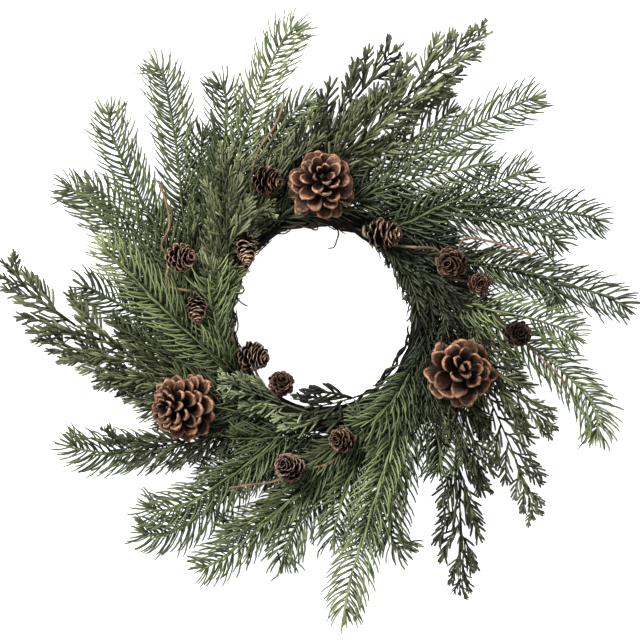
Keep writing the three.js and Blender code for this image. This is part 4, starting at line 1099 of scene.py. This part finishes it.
class WREATH_OT_vines(bpy.types.Operator):
    """Winds the ring of thin dark vines, with its loose tendrils"""
    bl_idname = "wreath.vines"
    bl_label = "Wind the Vines"

    def execute(self, context):
        random = draws("vines")
        piece = Piece()
        for points, thickness in vine_runs(random, context.scene.wreath_wood):
            finish = 1 if thickness < WEATHERED_VINE else 0
            ends = np.ones(len(points))
            ends[:3], ends[-3:] = VINE_ENDS, VINE_ENDS[::-1]
            tube(piece, points, thickness * ends, 6, random.uniform(0.2, 0.9), finish, random, 0.12)
        for thickness, knots in TENDRILS:
            points = through(knots, 1.6)
            tube(piece, points, np.linspace(2.0, 1.4, len(points)) * thickness, 6, 0.6, 0, random, 0.1)
        # Dried vine: dark bark with ridges along it, split and dull
        bark = rough_bark("dried vine bark", colour_of(context, "vine"), 2.4, 0.8)
        # Weathered vine: the same bark worn browner on the loose ends
        brown = faded(shaded(colour_of(context, "twig"), 0.5), 0.35)
        worn = rough_bark("weathered vine bark", brown, 2.4, 0.8)
        settle(piece, "vines", "vine_ring", [bark, worn])
        return {"FINISHED"}


class WREATH_OT_fir(bpy.types.Operator):
    """Grows the twenty fir sprays with needles on all sides"""
    bl_idname = "wreath.fir"
    bl_label = "Grow the Fir Sprays"

    def execute(self, context):
        for number, (slot, root, heads) in enumerate(FIR_SPRAYS, 1):
            random = draws("fir", number)
            piece = Piece()
            size = needle_size(context, 1.0, SHADED_FIR.get(number, 0.0), SPARSE_FIR.get(number, 1.0))
            for points in spray_runs(root, heads):
                grow_needles(piece, Stem(points), size, random, FIR_INNER.get(number, 0.0))
            settle(piece, f"fir_{number:02d}", f"fir_spray_{number:02d}", leaf_finish(context, slot))
        return {"FINISHED"}


class WREATH_OT_cedar(bpy.types.Operator):
    """Grows the fourteen cedar sprays with flat fans of blunt leaflets"""
    bl_idname = "wreath.cedar"
    bl_label = "Grow the Cedar Sprays"

    def execute(self, context):
        for number, (slot, root, heads) in enumerate(CEDAR_SPRAYS, 1):
            random = draws("cedar", number)
            piece = Piece()
            size = leaflet_size(context, BROAD_CEDAR.get(number, 1.0), SHADED_CEDAR.get(number, 0.0))
            for points in spray_runs(root, heads):
                # The stem stops a point short of the tip, which the last leaflets reach
                grow_fans(piece, Stem(points[:-1]), size, random, CEDAR_INNER.get(number, 0.0))
            settle(piece, f"cedar_{number:02d}", f"cedar_spray_{number:02d}",
                   leaf_finish(context, slot))
        return {"FINISHED"}


class WREATH_OT_filling(bpy.types.Operator):
    """Tucks short sprays in round the ring, under the long ones"""
    bl_idname = "wreath.filling"
    bl_label = "Tuck in the Short Sprays"

    def execute(self, context):
        for number, (slot, first, last, count, flank, reach, sweep, height) in enumerate(FILLING, 1):
            random = draws("short", number)
            piece = Piece()
            kind = slot.split("_")[1]
            inner = reach - 12 if reach < RING_REACH else RING_REACH - RING_HALF - 1
            # Painted shade: the lower a short spray lies, under the long ones, the darker its leaves
            shade = np.interp(height, [9, 32], [-0.6, -0.1])
            if last < SHADY_CLOCK and reach < SHADY_REACH:
                shade = shade + SHADY_TONE
            for clock in np.linspace(first, last, count) + random.uniform(-4, 4, count):
                start, out = seat(clock, flank + random.uniform(-12, 12), ROOT_SINK)
                end = math.radians(clock + sweep + random.uniform(-8, 8))
                far = reach + random.uniform(-9, 9)
                tip = (far * math.sin(end), far * math.cos(end), height + random.uniform(-4, 4))
                stem = Stem(head_run(start, out, random.uniform(2, 9), (start[2] + height) / 2 + 3, tip))
                if kind == "fir":
                    size = needle_size(context, SHORT_SHARE, shade, 1.05)
                    grow_needles(piece, stem, size, random, inner, PLAIN_OUTLINE)
                else:
                    grow_fans(piece, stem, leaflet_size(context, SHORT_SHARE, shade), random, inner)
            settle(piece, f"short_{kind}_{number:02d}", None, leaf_finish(context, slot))
        return {"FINISHED"}


def larch_foot(number, length):
    """Where a larch cone's stalk meets its twig."""
    at, axis, share, *_ = LARCH_CONES[number]
    return cone_foot(at, axis, length * share / 2 + LARCH_STALK)[0]


class WREATH_OT_twigs(bpy.types.Operator):
    """Lays the six bare twigs that carry the small cones"""
    bl_idname = "wreath.twigs"
    bl_label = "Lay the Twigs"

    def execute(self, context):
        wood = context.scene.wreath_wood
        # Bare larch twig: warm brown, with small knobs where its leaves were
        bark = rough_bark("bare larch twig", colour_of(context, "twig"), 1.6, 0.5)
        for number, (clock, flank, way) in TWIGS.items():
            random = draws("twig", int(number))
            start, out = seat(clock, flank, STALK_SINK)
            knots = [start, start + out * TWIG_LEAVE]
            knots += [larch_foot(stop, LARCH_LENGTH) if isinstance(stop, str) else np.array(stop, float)
                      for stop in way]
            points = through(knots, 2.2)
            piece = Piece()
            thin = np.linspace(1.0, 0.7, len(points)) * wood.twig / MM
            thin[::5] *= TWIG_KNOB
            tube(piece, points, thin, 7, 0.5, 0, random, 0.12)
            settle(piece, f"twig_{number}", f"wire_twig_{number}", [bark])
        return {"FINISHED"}


class WREATH_OT_pine_cones(bpy.types.Operator):
    """Opens the three pine cones, scale by scale"""
    bl_idname = "wreath.pine_cones"
    bl_label = "Open the Pine Cones"

    def execute(self, context):
        wood = dry_cone_wood("dry pine cone wood", colour_of(context, "pine_cone"),
                             colour_of(context, "pine_rim"), 4.0)
        for number, (name, row) in enumerate(PINE_CONES.items()):
            at, axis, root, count, length, width, wide, stray = row
            random = draws("pine", number)
            base, axis = cone_foot(at, axis, PINE_BASE)
            piece = Piece()
            cone_core(piece, base, axis, *PINE_CORE)
            shape = dict(PINE_SCALES, stray=stray, leans=(PINE_LEANS_AT, wide))
            cone_scales(piece, base, axis, count, length, width, shape, random)
            start, out = seat(*root, STALK_SINK)
            knots = [start, start + out * 4, base - axis * 5, base + axis * 2]
            tube(piece, through(knots, 2.0), 2.4, 8, 0.3, 0, random, 0.1)
            settle(piece, f"pine_{name}", f"pine_cone_{name}", [wood])
        return {"FINISHED"}


class WREATH_OT_larch_cones(bpy.types.Operator):
    """Makes the twelve small larch cones with their thin rimmed scales"""
    bl_idname = "wreath.larch_cones"
    bl_label = "Make the Larch Cones"

    def execute(self, context):
        wood = context.scene.wreath_wood
        for number, (at, axis, long, broad, wear, slot) in LARCH_CONES.items():
            random = draws("larch", int(number))
            length = wood.larch / MM * long
            name = "dry larch wood " + slot.split("_")[1]
            colour = colour_of(context, slot)
            material = bpy.data.materials.get(name) or dry_cone_wood(
                name, shaded(colour, 0.42, 0.28), faded(shaded(colour, 3.1, 0.03), 0.18), 2.2)
            base, axis = cone_foot(at, axis, length / 2)
            piece = Piece()
            cone_core(piece, base, axis, length - 4, 4.2 * broad)
            shut = SHUT_SHARE if broad < NARROW_LARCH else 1.0
            shape = dict(LARCH_SCALES, wear=wear, climb=([0, 0.2, 1], [3.0, 6.5, length - 8]),
                         leans=([0, 0.1, 0.3, 0.8, 1], [92 * shut, 80 * shut, 64 * shut, 42 * shut, 16]))
            cone_scales(piece, base, axis, wood.larch_scales, *(size * broad for size in LARCH_SCALE),
                        shape, random)
            stalk = np.linspace(base - axis * (LARCH_STALK + 1), base + axis, 5)
            tube(piece, stalk, 1.0, 6, 0.3, 0, random, 0.1)
            settle(piece, f"larch_{number}", f"larch_cone_{number}", [material])
        return {"FINISHED"}


def set_camera(scene):
    """A camera straight over the wreath, framed as the photograph is."""
    shift = PIXEL * np.array([PHOTO_SIDE / 2 - RING_PIXEL[0], RING_PIXEL[1] - PHOTO_SIDE / 2, 0])
    middle = RING_MIDDLE + shift
    camera = bpy.data.objects.new("camera", bpy.data.cameras.new("camera"))
    camera.data.lens, camera.data.sensor_width = LENS, SENSOR
    camera.data.clip_end = CAMERA_REACH
    height = PHOTO_SIDE * PIXEL * LENS / SENSOR + FOCUS_HEIGHT
    camera.location = (middle[0] * MM, middle[1] * MM, height * MM)
    scene.collection.objects.link(camera)
    scene.camera = camera


def lay_floor(scene, studio):
    """A wide sheet of paper under the wreath."""
    mesh = bpy.data.meshes.new("floor")
    corners = [(x * FLOOR_HALF, y * FLOOR_HALF, 0) for x, y in ((-1, -1), (1, -1), (1, 1), (-1, 1))]
    mesh.from_pydata(corners, [], [(0, 1, 2, 3)])
    mesh.materials.append(studio_paper("white studio paper", list(studio.floor) + [1.0], studio.glow))
    floor = bpy.data.objects.new("floor", mesh)
    scene.collection.objects.link(floor)
    # The paper's glow lifts the shadows on the paper alone and leaves the wreath's own shade deep
    lit = bpy.data.collections.new("lit by the paper")
    lit.objects.link(floor)
    floor.light_linking.receiver_collection = lit


def hang_lights(scene, studio):
    """Round soft lights, each aimed at the wreath, and an even light from all round."""
    for name, (place, size, share) in LIGHTS.items():
        lamp = bpy.data.lights.new(name, "AREA")
        lamp.shape, lamp.size, lamp.energy = "DISK", size, studio.key * share
        light = bpy.data.objects.new(name, lamp)
        light.location = place
        light.rotation_euler = (Vector(place) * -1).to_track_quat("-Z", "Y").to_euler()
        scene.collection.objects.link(light)
    world = bpy.data.worlds.new("studio")
    world.use_nodes = True
    tree = world.node_tree
    tree.nodes.clear()
    sky = add_node(tree, "ShaderNodeBackground", {"Color": (1, 1, 1, 1), "Strength": studio.fill})
    add_node(tree, "ShaderNodeOutputWorld", {"Surface": sky.outputs[0]})
    scene.world = world


class WREATH_OT_stage(bpy.types.Operator):
    """Sets the camera straight over the wreath, the pale floor and the soft lights"""
    bl_idname = "wreath.stage"
    bl_label = "Set the Studio"

    def execute(self, context):
        scene = context.scene
        set_camera(scene)
        lay_floor(scene, scene.wreath_studio)
        hang_lights(scene, scene.wreath_studio)
        scene.view_settings.view_transform = "Standard"
        return {"FINISHED"}


class WREATH_PT_panel(bpy.types.Panel):
    """Lists the wreath's sizes and colours and the steps that make it"""
    bl_idname = "WREATH_PT_panel"
    bl_label = "Pinecone Wreath"
    bl_space_type = "VIEW_3D"
    bl_region_type = "UI"
    bl_category = "Wreath"

    def draw(self, context):
        for label, name, group in GROUPS:
            box = self.layout.box()
            box.label(text=label)
            for field in group.__annotations__:
                box.prop(getattr(context.scene, name), field)
        for operator in OPERATORS:
            self.layout.operator(operator.bl_idname)


GROUPS = [
    ("Needles", "wreath_needles", WreathNeedles),
    ("Leaflets", "wreath_leaflets", WreathLeaflets),
    ("Cones and vines", "wreath_wood", WreathWood),
    ("Colours", "wreath_colours", WreathColours),
    ("Studio", "wreath_studio", WreathStudio),
]
OPERATORS = [WREATH_OT_stage, WREATH_OT_vines, WREATH_OT_fir, WREATH_OT_cedar, WREATH_OT_filling,
             WREATH_OT_twigs, WREATH_OT_pine_cones, WREATH_OT_larch_cones]


def register():
    for _, name, group in GROUPS:
        bpy.utils.register_class(group)
        setattr(bpy.types.Scene, name, bpy.props.PointerProperty(type=group))
    for kind in OPERATORS + [WREATH_PT_panel]:
        bpy.utils.register_class(kind)


def unregister():
    for kind in [WREATH_PT_panel] + OPERATORS[::-1]:
        bpy.utils.unregister_class(kind)
    for _, name, group in GROUPS[::-1]:
        delattr(bpy.types.Scene, name)
        bpy.utils.unregister_class(group)


def main():
    register()
    bpy.ops.wreath.stage()
    bpy.ops.wreath.vines()
    bpy.ops.wreath.fir()
    bpy.ops.wreath.cedar()
    bpy.ops.wreath.filling()
    bpy.ops.wreath.twigs()
    bpy.ops.wreath.pine_cones()
    bpy.ops.wreath.larch_cones()


if __name__ == "__main__":
    main()
